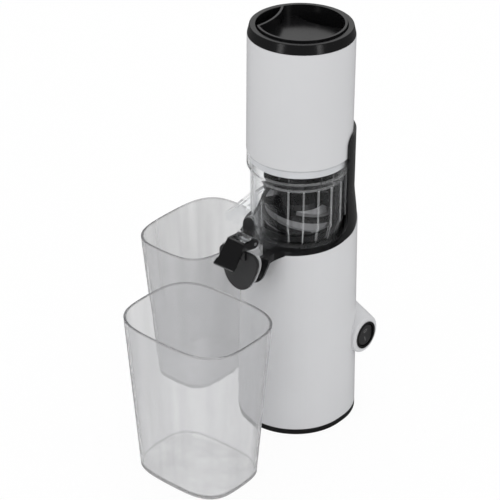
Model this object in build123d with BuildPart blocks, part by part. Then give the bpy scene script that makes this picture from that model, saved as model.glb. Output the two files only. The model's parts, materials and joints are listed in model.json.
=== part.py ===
"""Cold press juicer: motor stand, gear train, pressing bowl, filling tube and two containers.

Millimetres, +Z up. The origin is on the ground under the pressing axis. The juice spout points to -Y,
the pulp chute to -X, the switch to +X and the tall rear spine stands at +Y.
"""
import os
from math import atan2, cos, degrees, pi, radians, sin, sqrt

from build123d import *

os.makedirs("parts", exist_ok=True)

# ------------------------------------------------------------------ clearances
GAP = 0.3  # between pieces that move past each other
RUNNING = 0.05  # radial fit of a shaft in its bearing
SLIDE_FIT = 0.5  # radial play of pieces that are lifted out by hand
REACH = 120.0  # tool solids run this far past what they cut
MATCH = 0.1  # how near a corner lies to where it is looked for

# ------------------------------------------------------------------ stand
BAND_HEIGHT = 5.0  # black band that carries the white shell
BASE_RADIUS = 50.2
STAND_REAR = 6.2  # how far the rear half circle of the outline is set back
DECK_TOP = 184.2
DECK_RADIUS = 47.5
SHELL_WALL = 2.2
EDGE_LINE = ((-54, -5.6), (-26, -2.5), (5, 0.1), (20, 2.4), (31, 5.8), (58, 8.4))  # y, rise over the deck
DECK_PLATE = 3.2
DECK_DEPTH = 10.2
DECK_SKIRT = 2.5
BASE_PLATE = 2.5
BAND_WALL = 3.0
VENT_WIDTH = 3.0
VENT_LENGTH = 26.0
VENT_PITCH = 7.0
VENT_COUNT = 5
FOOT_RADIUS = 8.0
FOOT_THICKNESS = 1.6
FOOT_X = 26.0
FOOT_FRONT = -24.0
FOOT_REAR = 31.0
SCREW_RADIUS = 1.5
HEAD_RADIUS = 2.9
HEAD_HEIGHT = 2.0
BOSS_RADIUS = 3.6
BOSS_TOP = 22.0
BOSS_CIRCLE = 45.4
BOSS_ANGLE = 20.0  # off the X axis, towards the front and towards the rear

# ------------------------------------------------------------------ beak, trough and apron of the deck
BEAK_HALF_WIDTH = 16.0
BEAK_FRONT = -63.5
BEAK_EDGE = 7.2  # height of the beak's sides
BEAK_KEEL = 13.5  # depth of its rounded underside
BEAK_ROOT = 11.0
BEAK_ROOT_EDGE = 4.2  # height of the sides where they run into the deck's band
APRON_THICKNESS = 2.5

# ------------------------------------------------------------------ rear spine
SPINE_TOP = 279.0
SPINE_RADIUS = 47.4
SPINE_STEP = 0.4  # the spine's foot stands this far inside the shell's face
SPINE_INNER = 45.5
SPINE_FLARE = ((15.8, 4.4), (27.8, 2.3))  # height over the deck, set-back of the rear circle
SPINE_BLEND = 13.0  # height over which the flare runs out into a plain half cylinder
SPINE_STRAIGHT = DECK_TOP + SPINE_FLARE[-1][0] + SPINE_BLEND
SPINE_SIDE = 8.9  # y of the upright side edges
SPINE_CORNER = 9.0
SPINE_TOE = -8.0  # y where the side edges run out on the deck
SPINE_TOE_HEIGHT = 1.8
SPINE_SWEEP = 21.0  # height over the deck where the side edges start to sweep forward

# ------------------------------------------------------------------ switch
SWITCH_Y = 36.0
SWITCH_Z = 75.8
NOSE_END = 50.3
NOSE_RADIUS = 16.8
NOSE_ROUND = 2.0
NOSE_ROOT = 4.0
NOSE_ROOT_RADIUS = 18.5
NOSE_ROOT_RISE = 19.5
BEZEL_RADIUS = 13.6
BEZEL_LIP = 0.8
BARREL_RADIUS = 11.8
BARREL_DEPTH = 20.0
BARREL_WALL = 1.2
ROCKER_RADIUS = 10.2
ROCKER_AXIS_DEPTH = 3.5  # rocker axis behind the nose end
ROCKER_BACK = 3.0
ROCKER_FRONT = 3.6
ROCKER_HOLLOW = 20.0  # radius of the finger hollow across its face
ROCKER_DISH = 1.0  # depth of that hollow
ROCKER_PIN = 1.2

# ------------------------------------------------------------------ motor
MOTOR_RADIUS = 30.0
MOTOR_BOTTOM = 42.0
MOTOR_TOP = 104.0
CAN_WALL = 1.5
CAP_THICKNESS = 3.0
STATOR_INNER = 20.6
STATOR_MARGIN = 6.0
ARMATURE_RADIUS = 20.0
MOTOR_SHAFT = 2.5
MOTOR_SCREW_CIRCLE = 15.0
FAN_RADIUS = 22.0
FAN_HUB = 6.0
FAN_HEIGHT = 9.0
FAN_DROP = 4.0  # fan top under the motor
FAN_BLADES = 9
FAN_BLADE = 1.2

# ------------------------------------------------------------------ gear train: 46/9 x 45/10 = 23 : 1
MODULE = 0.8
MOTOR_TEETH = 9
LAY_WHEEL_TEETH = 46
LAY_PINION_TEETH = 10
OUTPUT_TEETH = 45
LAY_DISTANCE = MODULE * (MOTOR_TEETH + LAY_WHEEL_TEETH) / 2
WHEEL_WIDTH = 9.0
PINION_EXTRA = 2.0
TOOTH_TIP = 0.9  # tooth height over the pitch circle and depth under it, in modules
TOOTH_ROOT = 1.15
TIP_SHARE = 0.1  # half width of a tooth at its tip and at its root, as shares of the pitch
ROOT_SHARE = 0.29
GEAR_FLOOR = 3.0
GEAR_SPACE = 4.0
GEAR_CLEAR = 1.6
GEAR_WALL = 3.0
GEAR_LID = 4.0
LAY_SHAFT = 3.0
LAY_BEARING_DEPTH = 2.0
EAR_RADIUS = 4.5
EAR_X = 27.0
EAR_BITE = 14.0  # screw length in the deck's posts
OUTPUT_SHAFT = 6.0
OUTPUT_HUB = 9.0
BUSH_WALL = 3.0
TOWER_WALL = 2.5
HEX_FLATS = 10.0
HEX_TOP = 204.7

# ------------------------------------------------------------------ bowl
BOWL_RADIUS = 40.5
BOWL_WALL = 2.2
BOWL_FOOT_RING = 1.5  # how far the foot stands out past the wall
BOWL_FOOT_RADIUS = BOWL_RADIUS + BOWL_FOOT_RING
BOWL_FOOT = 1.5
BOWL_TUCK = 3.0  # how far the bowl draws in over its foot
BOWL_BASE_RADIUS = BOWL_RADIUS - BOWL_TUCK
BOWL_FLOOR = 2.5
BOWL_FLARE = 14.0  # height over which the foot widens into the upright wall
BOWL_KNEE = DECK_TOP + GAP + BOWL_FOOT + BOWL_FLARE
BOWL_SHOULDER = 238.0
COLLAR_RISE = 8.0  # cone between the bowl and its collar
COLLAR_HEIGHT = 13.1
COLLAR_STEP = 4.0  # how far the collar stands out past the bowl
COLLAR_RADIUS = BOWL_RADIUS + COLLAR_STEP
COLLAR_WALL = 2.1
COLLAR_BASE = BOWL_SHOULDER + COLLAR_RISE
COLLAR_TOP = COLLAR_BASE + COLLAR_HEIGHT
TUBE_BORE = 10.5
TUBE_WALL = 2.0
TUBE_TOP = 194.0
SEAL_HEIGHT = 1.5
SEAL_LIP = 1.0
RIB_COUNT = 20
RIB_WIDTH = 1.4
RIB_DEPTH = 0.9
RIB_CLEAR = 17.0  # degrees either side of the spout and the chute that stay free of ribs

# ------------------------------------------------------------------ juice spout and valve
DUCT_HALF_WIDTH = 9.0
DUCT_WALL = 1.8
DUCT_FRONT = -60.0
DUCT_FRONT_TOP = 211.0
DUCT_BACK_TOP = 222.0
DUCT_SAG = (0.62, 0.4)  # where the duct's hollow roof passes, as shares of its length and rise
PORT_TOP = 204.0
SPOUT_Z = 183.0
SPOUT_RADIUS = 9.5
SPOUT_BORE = 7.0
SPOUT_BACK = -50.0
SPOUT_FRONT = -76.0
FLANGE_THICKNESS = 2.0
FLANGE_BORDER = 0.6
SHIELD = ((13.0, 11.0), (20.0, 6.5), (19.6, -3.0), (16.2, -12.0), (10.0, -23.0))  # half width, height
SHIELD_TIP = -27.0
PAD_THICKNESS = 3.2
HINGE_HALF_WIDTH = 7.2
HINGE_NOSE = 7.6
PIVOT_Y = -68.5
PIVOT_Z = 198.5
PIN_RADIUS = 1.5
ARM_THICKNESS = 2.1
ARM_BOSS = 4.2
YOKE_THICKNESS = 2.4
YOKE_BOTTOM = 188.0
HANDLE_TOP = 203.4
HANDLE_THICKNESS = 2.4
HANDLE_FOLD = (-93.0, 188.4)  # y, z
HANDLE_TIP = (-98.2, 185.4)
HANDLE_TIP_FLARE = 1.0
LEAF_Y = -65.5
LEAF_HALF_WIDTH = 5.5
LEAF_THICKNESS = 2.5
LEAF_TOP = 218.3
LEAF_ROOT = 202.5

# ------------------------------------------------------------------ pulp chute
CHUTE_HALF_WIDTH = 8.4
CHUTE_WALL = 1.8
CHUTE_BACK = -50.5  # wall beside the stand
CHUTE_LIFT = 1.0  # chute floor over the bowl's underside
CHUTE_OFFSET = (0.7, 1.2)  # how far the passage lies inside the sloping roof, in walls
CHUTE_OUTER = ((-38.0, 206.0), (-47.0, 203.0), (-76.0, 172.0), (-75.5, 165.0))  # x, z

# ------------------------------------------------------------------ strainer and auger
STRAINER_MARGIN = 3.4  # ring of juice outside the strainer
STRAINER_OUTER = BOWL_RADIUS - BOWL_WALL - STRAINER_MARGIN
STRAINER_WALL = 1.2
STRAINER_FLOOR = 0.8
STRAINER_RISE = 5.0
STRAINER_SLOTS = 36
STRAINER_SLOT = 1.0
AUGER_CLEAR = 0.7  # between the flights and the strainer
AUGER_RADIUS = STRAINER_OUTER - STRAINER_WALL - AUGER_CLEAR
AUGER_BASE = 2.6
FLIGHT_DEPTH = 6.0  # at the foot of the flights, and twice that at their top
AUGER_CORE_LOW = AUGER_RADIUS - FLIGHT_DEPTH
AUGER_CORE_HIGH = AUGER_RADIUS - 2 * FLIGHT_DEPTH
AUGER_TOP = 217.5
AUGER_CROWN = 15.0
SPINDLE_RADIUS = 9.0
SPINDLE_TOP = 232.0
SPINDLE_ROUND = 4.0
FLIGHT_COUNT = 3
FLIGHT_LEAD = 42.0
FLIGHT_START = -29.0  # degrees from +X, where the first flight begins
FLIGHT_THICKNESS = 4.2

# ------------------------------------------------------------------ filling tube and pusher
HOPPER_RADIUS = 45.0
HOPPER_WALL = 2.4
HOPPER_TOP = 364.5
HOPPER_SKIRT = 8.4
RING_RISE = 8.3
RING_TOP = HOPPER_TOP + RING_RISE
RING_CROWN = 43.1
RING_BORE = 38.0
RING_WALL = 2.2
RING_DEPTH = 22.0
RING_LEDGE = 2.2
LEDGE_THICKNESS = 2.0
RING_RIB = 4.0
PUSHER_RIM = 1.6  # how far the pusher stands over the ring
PUSHER_WALL = 2.0
PUSHER_WELL = 10.5  # depth of the grip hollow
PUSHER_REACH = 64.5  # how far it reaches into the filling tube
PUSHER_BOTTOM = HOPPER_TOP - PUSHER_REACH
PUSHER_FLOOR = 2.4
POCKET_DEPTH = 14.0
POCKET_RADIUS = 50.5
POCKET_DISTANCE = 73.5
POCKET_ANGLES = (97.0, 343.0)
SCALLOP_RADIUS = 60.0
SCALLOP_DISTANCE = 85.0
SCALLOP_ANGLE = 194.0
FOOT_PLATE = 3.0

# ------------------------------------------------------------------ containers: centre, rim half sizes, taper
JUICE_CENTRE = (-1.0, -129.3)
JUICE_HALF = (58.6, 47.6)
JUICE_TAPER = (0.82, 0.79)
JUICE_HEIGHT = 149.0
PULP_CENTRE = (-105.7, -3.4)
PULP_HALF = (42.5, 55.3)
PULP_TAPER = (0.75, 0.76)
PULP_HEIGHT = 144.0
CONTAINER_WALL = 1.9
CONTAINER_FLOOR = 2.6
CONTAINER_SQUARENESS = 3.4  # exponent of the rounded outline
OUTLINE_POINTS = 32

# ------------------------------------------------------------------ electrics
BOARD_Y = -38.0
BOARD_THICKNESS = 1.6
BOARD_WIDTH = 40.0
BOARD_HEIGHT = 62.0
RAIL_SIZE = 5.0
RAIL_HEIGHT = 40.0
RELAY_SIZE = (16.0, 4.4, 20.0)
INLET_Z = 22.0
INLET_RADIUS = 5.5
INLET_FLANGE = 8.5
INLET_LIP = 2.6
INLET_BORE = 3.2


# ------------------------------------------------------------------ shared shapes
def oval(radius, rear):
    """Two equal half circles, the second set back along the local Y axis, with straight sides."""
    with BuildSketch(mode=Mode.PRIVATE) as plan:
        with BuildLine():
            front = CenterArc((0, 0), radius, 180, 180)
            Line(front @ 1, (radius, rear))
            back = CenterArc((0, rear), radius, 0, 180)
            Line(back @ 1, front @ 0)
        make_face()
    return plan.sketch


def stand_radius(z):
    """Radius of the stand's outline at a height."""
    return BASE_RADIUS + (DECK_RADIUS - BASE_RADIUS) * (z - BAND_HEIGHT) / (DECK_TOP - BAND_HEIGHT)


def stand_solid(bottom, top, inset=0.0):
    """Tapering solid with the stand's outline, or one that lies inside it by a wall."""
    draft = degrees(atan2(BASE_RADIUS - DECK_RADIUS, DECK_TOP - BAND_HEIGHT))
    with BuildPart(mode=Mode.PRIVATE) as solid:
        with BuildSketch(Plane.XY.offset(bottom)):
            add(oval(stand_radius(bottom) - inset, STAND_REAR))
        extrude(amount=top - bottom, taper=draft)
    return solid.part


def nose_solid(inset=0.0):
    """Switch nose that grows out of the stand's side, or its hollow."""
    end = NOSE_END - inset
    with BuildPart(mode=Mode.PRIVATE) as solid:
        with BuildSketch(Plane.YZ.offset(NOSE_ROOT)):
            with Locations((SWITCH_Y, SWITCH_Z)):
                add(oval(NOSE_ROOT_RADIUS - inset, NOSE_ROOT_RISE))
        with BuildSketch(Plane.YZ.offset(end)):
            with Locations((SWITCH_Y, SWITCH_Z)):
                add(oval(NOSE_RADIUS - inset, GAP))
        loft()
        if inset == 0.0:
            fillet(solid.edges().group_by(Axis.X)[-1], NOSE_ROUND)
    return solid.part


def shield(extra=0.0):
    """Shield outline shared by the flange, the pad and the apron; local Y is height over the spout."""
    right = [(half + extra, height + (extra if height > 0 else 0)) for half, height in SHIELD]
    left = [(-half, height) for half, height in reversed(right)]
    with BuildSketch(mode=Mode.PRIVATE) as outline:
        with BuildLine():
            edge = Spline(*right, (0, SHIELD_TIP - extra), *left)
            Line(edge @ 1, edge @ 0)
        make_face()
    return outline.sketch


def gear_outline(teeth, first_tooth=0.0):
    """Straight-flanked gear with generous backlash; first_tooth is the angle of one tooth's middle."""
    pitch_radius = MODULE * teeth / 2
    tip = pitch_radius + TOOTH_TIP * MODULE
    root = pitch_radius - TOOTH_ROOT * MODULE
    pitch = 2 * pi / teeth
    points = []
    for tooth in range(teeth):
        middle = radians(first_tooth) + pitch * tooth
        for radius, share in ((root, -ROOT_SHARE), (tip, -TIP_SHARE), (tip, TIP_SHARE), (root, ROOT_SHARE)):
            angle = middle + share * pitch
            points.append((radius * cos(angle), radius * sin(angle)))
    with BuildSketch(mode=Mode.PRIVATE) as outline:
        with BuildLine():
            Polyline(*points, close=True)
        make_face()
    return outline.sketch


def container_outline(half, inset=0.0):
    """Rounded four-sided outline with gently bowed sides."""
    power = 2 / CONTAINER_SQUARENESS
    points = []
    for step in range(OUTLINE_POINTS):
        angle = 2 * pi * (step + 0.5) / OUTLINE_POINTS
        across = abs(cos(angle)) ** power * (1 if cos(angle) > 0 else -1)
        along = abs(sin(angle)) ** power * (1 if sin(angle) > 0 else -1)
        points.append(((half[0] - inset) * across, (half[1] - inset) * along))
    with BuildSketch(mode=Mode.PRIVATE) as outline:
        with BuildLine():
            Spline(*points, periodic=True)
        make_face()
    return outline.sketch


def container_solid(centre, half, taper, height, floor, inset=0.0):
    """Drafted body of a container, or the hollow inside it."""
    with BuildPart(mode=Mode.PRIVATE) as solid:
        for z in (floor, height):
            share = z / height
            size = [half[i] * (taper[i] + (1 - taper[i]) * share) for i in (0, 1)]
            with BuildSketch(Plane.XY.offset(z)):
                with Locations(centre):
                    add(container_outline(size, inset))
        loft()
    return solid.part


def around(centre_y, radius, angles):
    """Points on a circle about the stand's axis or about its set-back rear axis."""
    return [(radius * cos(radians(a)), centre_y + radius * sin(radians(a))) for a in angles]


BOSS_POINTS = around(0, BOSS_CIRCLE, (-BOSS_ANGLE, 180 + BOSS_ANGLE))
BOSS_POINTS += around(STAND_REAR, BOSS_CIRCLE, (BOSS_ANGLE, 180 - BOSS_ANGLE))
FOOT_POINTS = [(x, y) for x in (-FOOT_X, FOOT_X) for y in (FOOT_FRONT, FOOT_REAR)]

# ------------------------------------------------------------------ beak of the deck, in front of the shell
with BuildPart() as beak:
    with BuildSketch(Plane.XY.offset(DECK_TOP - BEAK_KEEL)):
        Circle(DECK_RADIUS)
        Rectangle(2 * BEAK_HALF_WIDTH, -BEAK_FRONT, align=(Align.CENTER, Align.MAX))
        root_y = -sqrt(DECK_RADIUS**2 - BEAK_HALF_WIDTH**2)
        roots = [v for v in vertices() if abs(v.Y - root_y) < MATCH]
        fillet(roots, BEAK_ROOT)
    extrude(amount=BEAK_KEEL)
    with BuildSketch(Plane.XZ):
        edge_z = DECK_TOP - BEAK_EDGE
        root_x = (BEAK_HALF_WIDTH + BEAK_ROOT) * DECK_RADIUS / (DECK_RADIUS + BEAK_ROOT)
        root_z = DECK_TOP - BEAK_ROOT_EDGE
        with BuildLine():
            Polyline((-REACH, root_z), (-root_x, root_z), (-BEAK_HALF_WIDTH, edge_z))
            ThreePointArc((-BEAK_HALF_WIDTH, edge_z), (0, DECK_TOP - BEAK_KEEL), (BEAK_HALF_WIDTH, edge_z))
            Polyline((BEAK_HALF_WIDTH, edge_z), (root_x, root_z), (REACH, root_z), (REACH, DECK_TOP),
                     (-REACH, DECK_TOP), (-REACH, root_z))
        make_face()
    extrude(amount=REACH, mode=Mode.INTERSECT)
    with BuildSketch(Plane.XZ.offset(-BEAK_FRONT)):
        with Locations((0, SPOUT_Z)):
            add(shield())
        with Locations((0, DECK_TOP)):
            Rectangle(REACH, REACH, align=(Align.CENTER, Align.MIN), mode=Mode.SUBTRACT)
    extrude(amount=-APRON_THICKNESS)
    with BuildSketch(Plane.XZ.offset(-BEAK_FRONT)):
        with Locations((0, SPOUT_Z)):
            Circle(SPOUT_RADIUS + SLIDE_FIT)
    extrude(amount=BEAK_FRONT - SPOUT_BACK - SLIDE_FIT, mode=Mode.SUBTRACT)
    add(stand_solid(BAND_HEIGHT, DECK_TOP), mode=Mode.SUBTRACT)

# ------------------------------------------------------------------ white shell with the switch nose
with BuildPart() as over_edge:
    with BuildSketch(Plane.YZ):
        edge_points = [(y, DECK_TOP + rise) for y, rise in EDGE_LINE]
        with BuildLine():
            edge = Spline(*edge_points)
            Polyline(edge @ 1, (edge_points[-1][0], DECK_TOP + REACH), (edge_points[0][0], DECK_TOP + REACH),
                     edge @ 0)
        make_face()
    extrude(amount=REACH, both=True)

shell_top = DECK_TOP + EDGE_LINE[-1][1]
with BuildPart() as body_shell:
    add(stand_solid(BAND_HEIGHT, shell_top))
    add(nose_solid())
    add(stand_solid(BAND_HEIGHT, shell_top, SHELL_WALL), mode=Mode.SUBTRACT)
    add(nose_solid(SHELL_WALL), mode=Mode.SUBTRACT)
    add(over_edge.part, mode=Mode.SUBTRACT)
    with BuildSketch(Plane.YZ.offset(NOSE_END)):
        with Locations((SWITCH_Y, SWITCH_Z)):
            Circle(BARREL_RADIUS)
    extrude(amount=-2 * SHELL_WALL, mode=Mode.SUBTRACT)
    with BuildSketch(Plane.XY.offset(BAND_HEIGHT)):
        with Locations(*BOSS_POINTS):
            Circle(BOSS_RADIUS)
            Circle(SCREW_RADIUS, mode=Mode.SUBTRACT)
    extrude(amount=BOSS_TOP - BAND_HEIGHT)
    with BuildSketch(Plane.XZ.offset(-BASE_RADIUS)):
        with Locations((0, INLET_Z)):
            Circle(INLET_RADIUS)
    extrude(amount=STAND_REAR + SHELL_WALL, both=True, mode=Mode.SUBTRACT)
body_shell.part.label = "body_shell"
export_step(body_shell.part, "parts/body_shell.step")

# ------------------------------------------------------------------ base: cover, feet, screws
with BuildPart() as base_cover:
    add(stand_solid(0, BAND_HEIGHT))
    add(stand_solid(BASE_PLATE, BAND_HEIGHT, BAND_WALL), mode=Mode.SUBTRACT)
    with BuildSketch(Plane.XY.offset(BASE_PLATE)):
        with Locations(*BOSS_POINTS):
            Circle(BOSS_RADIUS)
    extrude(amount=BAND_HEIGHT - BASE_PLATE)
    rail_x = BOARD_WIDTH / 2
    with BuildSketch(Plane.XY.offset(BASE_PLATE)):
        with Locations((-rail_x, BOARD_Y), (rail_x, BOARD_Y)):
            Rectangle(RAIL_SIZE, RAIL_SIZE)
    extrude(amount=RAIL_HEIGHT)
    with BuildSketch(Plane.XY.offset(BAND_HEIGHT)):
        with Locations((0, BOARD_Y)):
            Rectangle(BOARD_WIDTH, BOARD_THICKNESS)
    extrude(amount=RAIL_HEIGHT, mode=Mode.SUBTRACT)
    with BuildSketch():
        with Locations(*FOOT_POINTS):
            Circle(FOOT_RADIUS)
    extrude(amount=FOOT_THICKNESS, mode=Mode.SUBTRACT)
    with BuildSketch():
        with Locations(*BOSS_POINTS):
            Circle(HEAD_RADIUS)
    extrude(amount=HEAD_HEIGHT, mode=Mode.SUBTRACT)
    with BuildSketch():
        with Locations(*BOSS_POINTS):
            Circle(SCREW_RADIUS)
        with Locations((0, STAND_REAR / 2)):
            with GridLocations(0, VENT_PITCH, 1, VENT_COUNT):
                SlotOverall(VENT_LENGTH, VENT_WIDTH)
    extrude(amount=BAND_HEIGHT, mode=Mode.SUBTRACT)
base_cover.part.label = "base_cover"
export_step(base_cover.part, "parts/base_cover.step")

with BuildPart() as rubber_feet:
    with BuildSketch():
        with Locations(*FOOT_POINTS):
            Circle(FOOT_RADIUS)
    extrude(amount=FOOT_THICKNESS)
rubber_feet.part.label = "rubber_feet"
export_step(rubber_feet.part, "parts/rubber_feet.step")

with BuildPart() as base_screws:
    with BuildSketch():
        with Locations(*BOSS_POINTS):
            Circle(HEAD_RADIUS)
    extrude(amount=HEAD_HEIGHT)
    with BuildSketch():
        with Locations(*BOSS_POINTS):
            Circle(SCREW_RADIUS)
    extrude(amount=BOSS_TOP - BAND_HEIGHT)
base_screws.part.label = "base_screws"
export_step(base_screws.part, "parts/base_screws.step")

# ------------------------------------------------------------------ gear train heights, from the motor up
gear_bottom = MOTOR_TOP + GEAR_SPACE
wheel_bottom = gear_bottom + GEAR_FLOOR + GEAR_SPACE
wheel_top = wheel_bottom + WHEEL_WIDTH
output_bottom = wheel_top + PINION_EXTRA + GEAR_CLEAR
output_top = output_bottom + WHEEL_WIDTH
gear_top = output_top + GEAR_SPACE
lid_top = gear_top + GEAR_LID
wheel_outer = MODULE * (LAY_WHEEL_TEETH / 2 + 1)
deck_under = DECK_TOP - DECK_PLATE
bush_outer = OUTPUT_SHAFT + BUSH_WALL
tower_outer = bush_outer + TOWER_WALL
tower_top = deck_under
EAR_POINTS = [(x, y) for x in (-EAR_X, EAR_X) for y in (0, LAY_DISTANCE)]

# ------------------------------------------------------------------ deck plate
with BuildPart() as deck_plate:
    add(stand_solid(DECK_TOP - DECK_DEPTH, DECK_TOP))
    add(stand_solid(DECK_TOP - DECK_DEPTH, deck_under, SHELL_WALL + DECK_SKIRT), mode=Mode.SUBTRACT)
    add(beak.part)
    with BuildSketch(Plane.XY.offset(deck_under)):
        with Locations(*EAR_POINTS):
            Circle(EAR_RADIUS)
    extrude(amount=lid_top - deck_under)
    with BuildSketch(Plane.XY.offset(lid_top)):
        with Locations(*EAR_POINTS):
            Circle(SCREW_RADIUS)
    extrude(amount=EAR_BITE, mode=Mode.SUBTRACT)
    with BuildSketch(Plane.XY.offset(deck_under)):
        Circle(bush_outer)
    extrude(amount=DECK_PLATE, mode=Mode.SUBTRACT)
    add(body_shell.part, mode=Mode.SUBTRACT)
deck_plate.part.label = "deck_plate"
export_step(deck_plate.part, "parts/deck_plate.step")

# ------------------------------------------------------------------ rear spine
with BuildPart() as rear_spine:
    flare = [(0.0, SPINE_RADIUS - SPINE_STEP, STAND_REAR)]
    flare += [(rise, SPINE_RADIUS, rear) for rise, rear in SPINE_FLARE]
    flare += [(SPINE_STRAIGHT - DECK_TOP, SPINE_RADIUS, GAP)]
    for rise, radius, rear in flare:
        with BuildSketch(Plane.XY.offset(DECK_TOP + rise)):
            add(oval(radius, rear))
    loft()
    with BuildSketch(Plane.XY.offset(SPINE_STRAIGHT)):
        add(oval(SPINE_RADIUS, GAP))
    extrude(amount=SPINE_TOP - SPINE_STRAIGHT)
    with BuildSketch(Plane.XY.offset(DECK_TOP)):
        Circle(SPINE_INNER)
    extrude(amount=SPINE_TOP - DECK_TOP, mode=Mode.SUBTRACT)
    with BuildSketch(Plane.YZ):
        toe_z = DECK_TOP + SPINE_TOE_HEIGHT
        sweep_z = DECK_TOP + SPINE_SWEEP
        with BuildLine():
            rear_top = Line((REACH, SPINE_TOP), (SPINE_SIDE + SPINE_CORNER, SPINE_TOP))
            corner = CenterArc((SPINE_SIDE + SPINE_CORNER, SPINE_TOP - SPINE_CORNER), SPINE_CORNER, 90, 90)
            side = Line(corner @ 1, (SPINE_SIDE, sweep_z))
            foot = TangentArc(side @ 1, (SPINE_TOE, toe_z), tangent=side % 1)
            Polyline(foot @ 1, (SPINE_TOE, DECK_TOP), (REACH, DECK_TOP), rear_top @ 0)
        make_face()
    extrude(amount=REACH, both=True, mode=Mode.INTERSECT)
    with BuildSketch(Plane.XY.offset(DECK_TOP)):
        with Locations((0, SPINE_SIDE)):
            Rectangle(REACH, REACH, align=(Align.MAX, Align.MAX))
    extrude(amount=REACH, mode=Mode.SUBTRACT)
    add(body_shell.part, mode=Mode.SUBTRACT)
rear_spine.part.label = "rear_spine"
export_step(rear_spine.part, "parts/rear_spine.step")

# ------------------------------------------------------------------ switch
axis_x = NOSE_END - ROCKER_AXIS_DEPTH
with BuildPart() as switch_bezel:
    with BuildSketch(Plane.YZ.offset(NOSE_END)):
        with Locations((SWITCH_Y, SWITCH_Z)):
            Circle(BEZEL_RADIUS)
    extrude(amount=BEZEL_LIP)
    with BuildSketch(Plane.YZ.offset(NOSE_END)):
        with Locations((SWITCH_Y, SWITCH_Z)):
            Circle(BARREL_RADIUS)
    extrude(amount=-BARREL_DEPTH)
    with BuildSketch(Plane.YZ.offset(NOSE_END + BEZEL_LIP)):
        with Locations((SWITCH_Y, SWITCH_Z)):
            Circle(BARREL_RADIUS - BARREL_WALL)
    extrude(amount=-BARREL_DEPTH, mode=Mode.SUBTRACT)
    with BuildSketch(Plane.XZ):
        with Locations((axis_x, SWITCH_Z)):
            Circle(ROCKER_PIN)
    extrude(amount=REACH, both=True, mode=Mode.SUBTRACT)
switch_bezel.part.label = "switch_bezel"
export_step(switch_bezel.part, "parts/switch_bezel.step")

with BuildPart() as rocker_pin:
    with BuildSketch(Plane.XZ.offset(-SWITCH_Y)):
        with Locations((axis_x, SWITCH_Z)):
            Circle(ROCKER_PIN)
    extrude(amount=BARREL_RADIUS - GAP, both=True)
rocker_pin.part.label = "rocker_pin"
export_step(rocker_pin.part, "parts/rocker_pin.step")

with BuildPart() as switch_rocker:
    with BuildSketch(Plane.XZ.offset(-SWITCH_Y)):
        with Locations((axis_x, SWITCH_Z)):
            Circle(ROCKER_RADIUS)
        with Locations((axis_x - ROCKER_BACK, SWITCH_Z)):
            Rectangle(ROCKER_BACK + ROCKER_FRONT, ROCKER_RADIUS, align=(Align.MIN, Align.MIN),
                      mode=Mode.INTERSECT)
    revolve(axis=Axis((axis_x, SWITCH_Y, SWITCH_Z), (1, 0, 0)))
    with BuildSketch(Plane.XZ):
        with Locations((axis_x + ROCKER_FRONT - ROCKER_DISH + ROCKER_HOLLOW, SWITCH_Z)):
            Circle(ROCKER_HOLLOW)
        with Locations((axis_x, SWITCH_Z)):
            Circle(ROCKER_PIN + RUNNING)
    extrude(amount=REACH, both=True, mode=Mode.SUBTRACT)
switch_rocker.part.label = "switch_rocker"
export_step(switch_rocker.part, "parts/switch_rocker.step")

# ------------------------------------------------------------------ motor
with BuildPart() as motor_can:
    with BuildSketch(Plane.XY.offset(MOTOR_BOTTOM)):
        Circle(MOTOR_RADIUS)
    extrude(amount=MOTOR_TOP - CAP_THICKNESS - MOTOR_BOTTOM)
    with BuildSketch(Plane.XY.offset(MOTOR_BOTTOM + CAN_WALL)):
        Circle(MOTOR_RADIUS - CAN_WALL)
    extrude(amount=MOTOR_TOP, mode=Mode.SUBTRACT)
    with BuildSketch(Plane.XY.offset(MOTOR_BOTTOM)):
        Circle(FAN_HUB)
    extrude(amount=STATOR_MARGIN - GAP)
    with BuildSketch(Plane.XY.offset(MOTOR_BOTTOM)):
        Circle(MOTOR_SHAFT + RUNNING)
    extrude(amount=MOTOR_TOP, mode=Mode.SUBTRACT)
motor_can.part.label = "motor_can"
export_step(motor_can.part, "parts/motor_can.step")

stator_bottom = MOTOR_BOTTOM + CAN_WALL
stator_top = MOTOR_TOP - CAP_THICKNESS
with BuildPart() as motor_stator:
    with BuildSketch(Plane.XY.offset(stator_bottom)):
        Circle(MOTOR_RADIUS - CAN_WALL)
        Circle(STATOR_INNER, mode=Mode.SUBTRACT)
    extrude(amount=stator_top - stator_bottom)
motor_stator.part.label = "motor_stator"
export_step(motor_stator.part, "parts/motor_stator.step")

with BuildPart() as motor_endcap:
    with BuildSketch(Plane.XY.offset(stator_top)):
        Circle(MOTOR_RADIUS)
    extrude(amount=CAP_THICKNESS)
    with BuildSketch(Plane.XY.offset(MOTOR_TOP)):
        Circle(FAN_HUB)
        with Locations(*around(0, MOTOR_SCREW_CIRCLE, (0, 180))):
            Circle(BOSS_RADIUS)
    extrude(amount=GEAR_SPACE)
    with BuildSketch(Plane.XY.offset(stator_top)):
        Circle(MOTOR_SHAFT + RUNNING)
        with Locations(*around(0, MOTOR_SCREW_CIRCLE, (0, 180))):
            Circle(SCREW_RADIUS)
    extrude(amount=CAP_THICKNESS + GEAR_SPACE, mode=Mode.SUBTRACT)
motor_endcap.part.label = "motor_endcap"
export_step(motor_endcap.part, "parts/motor_endcap.step")

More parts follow.
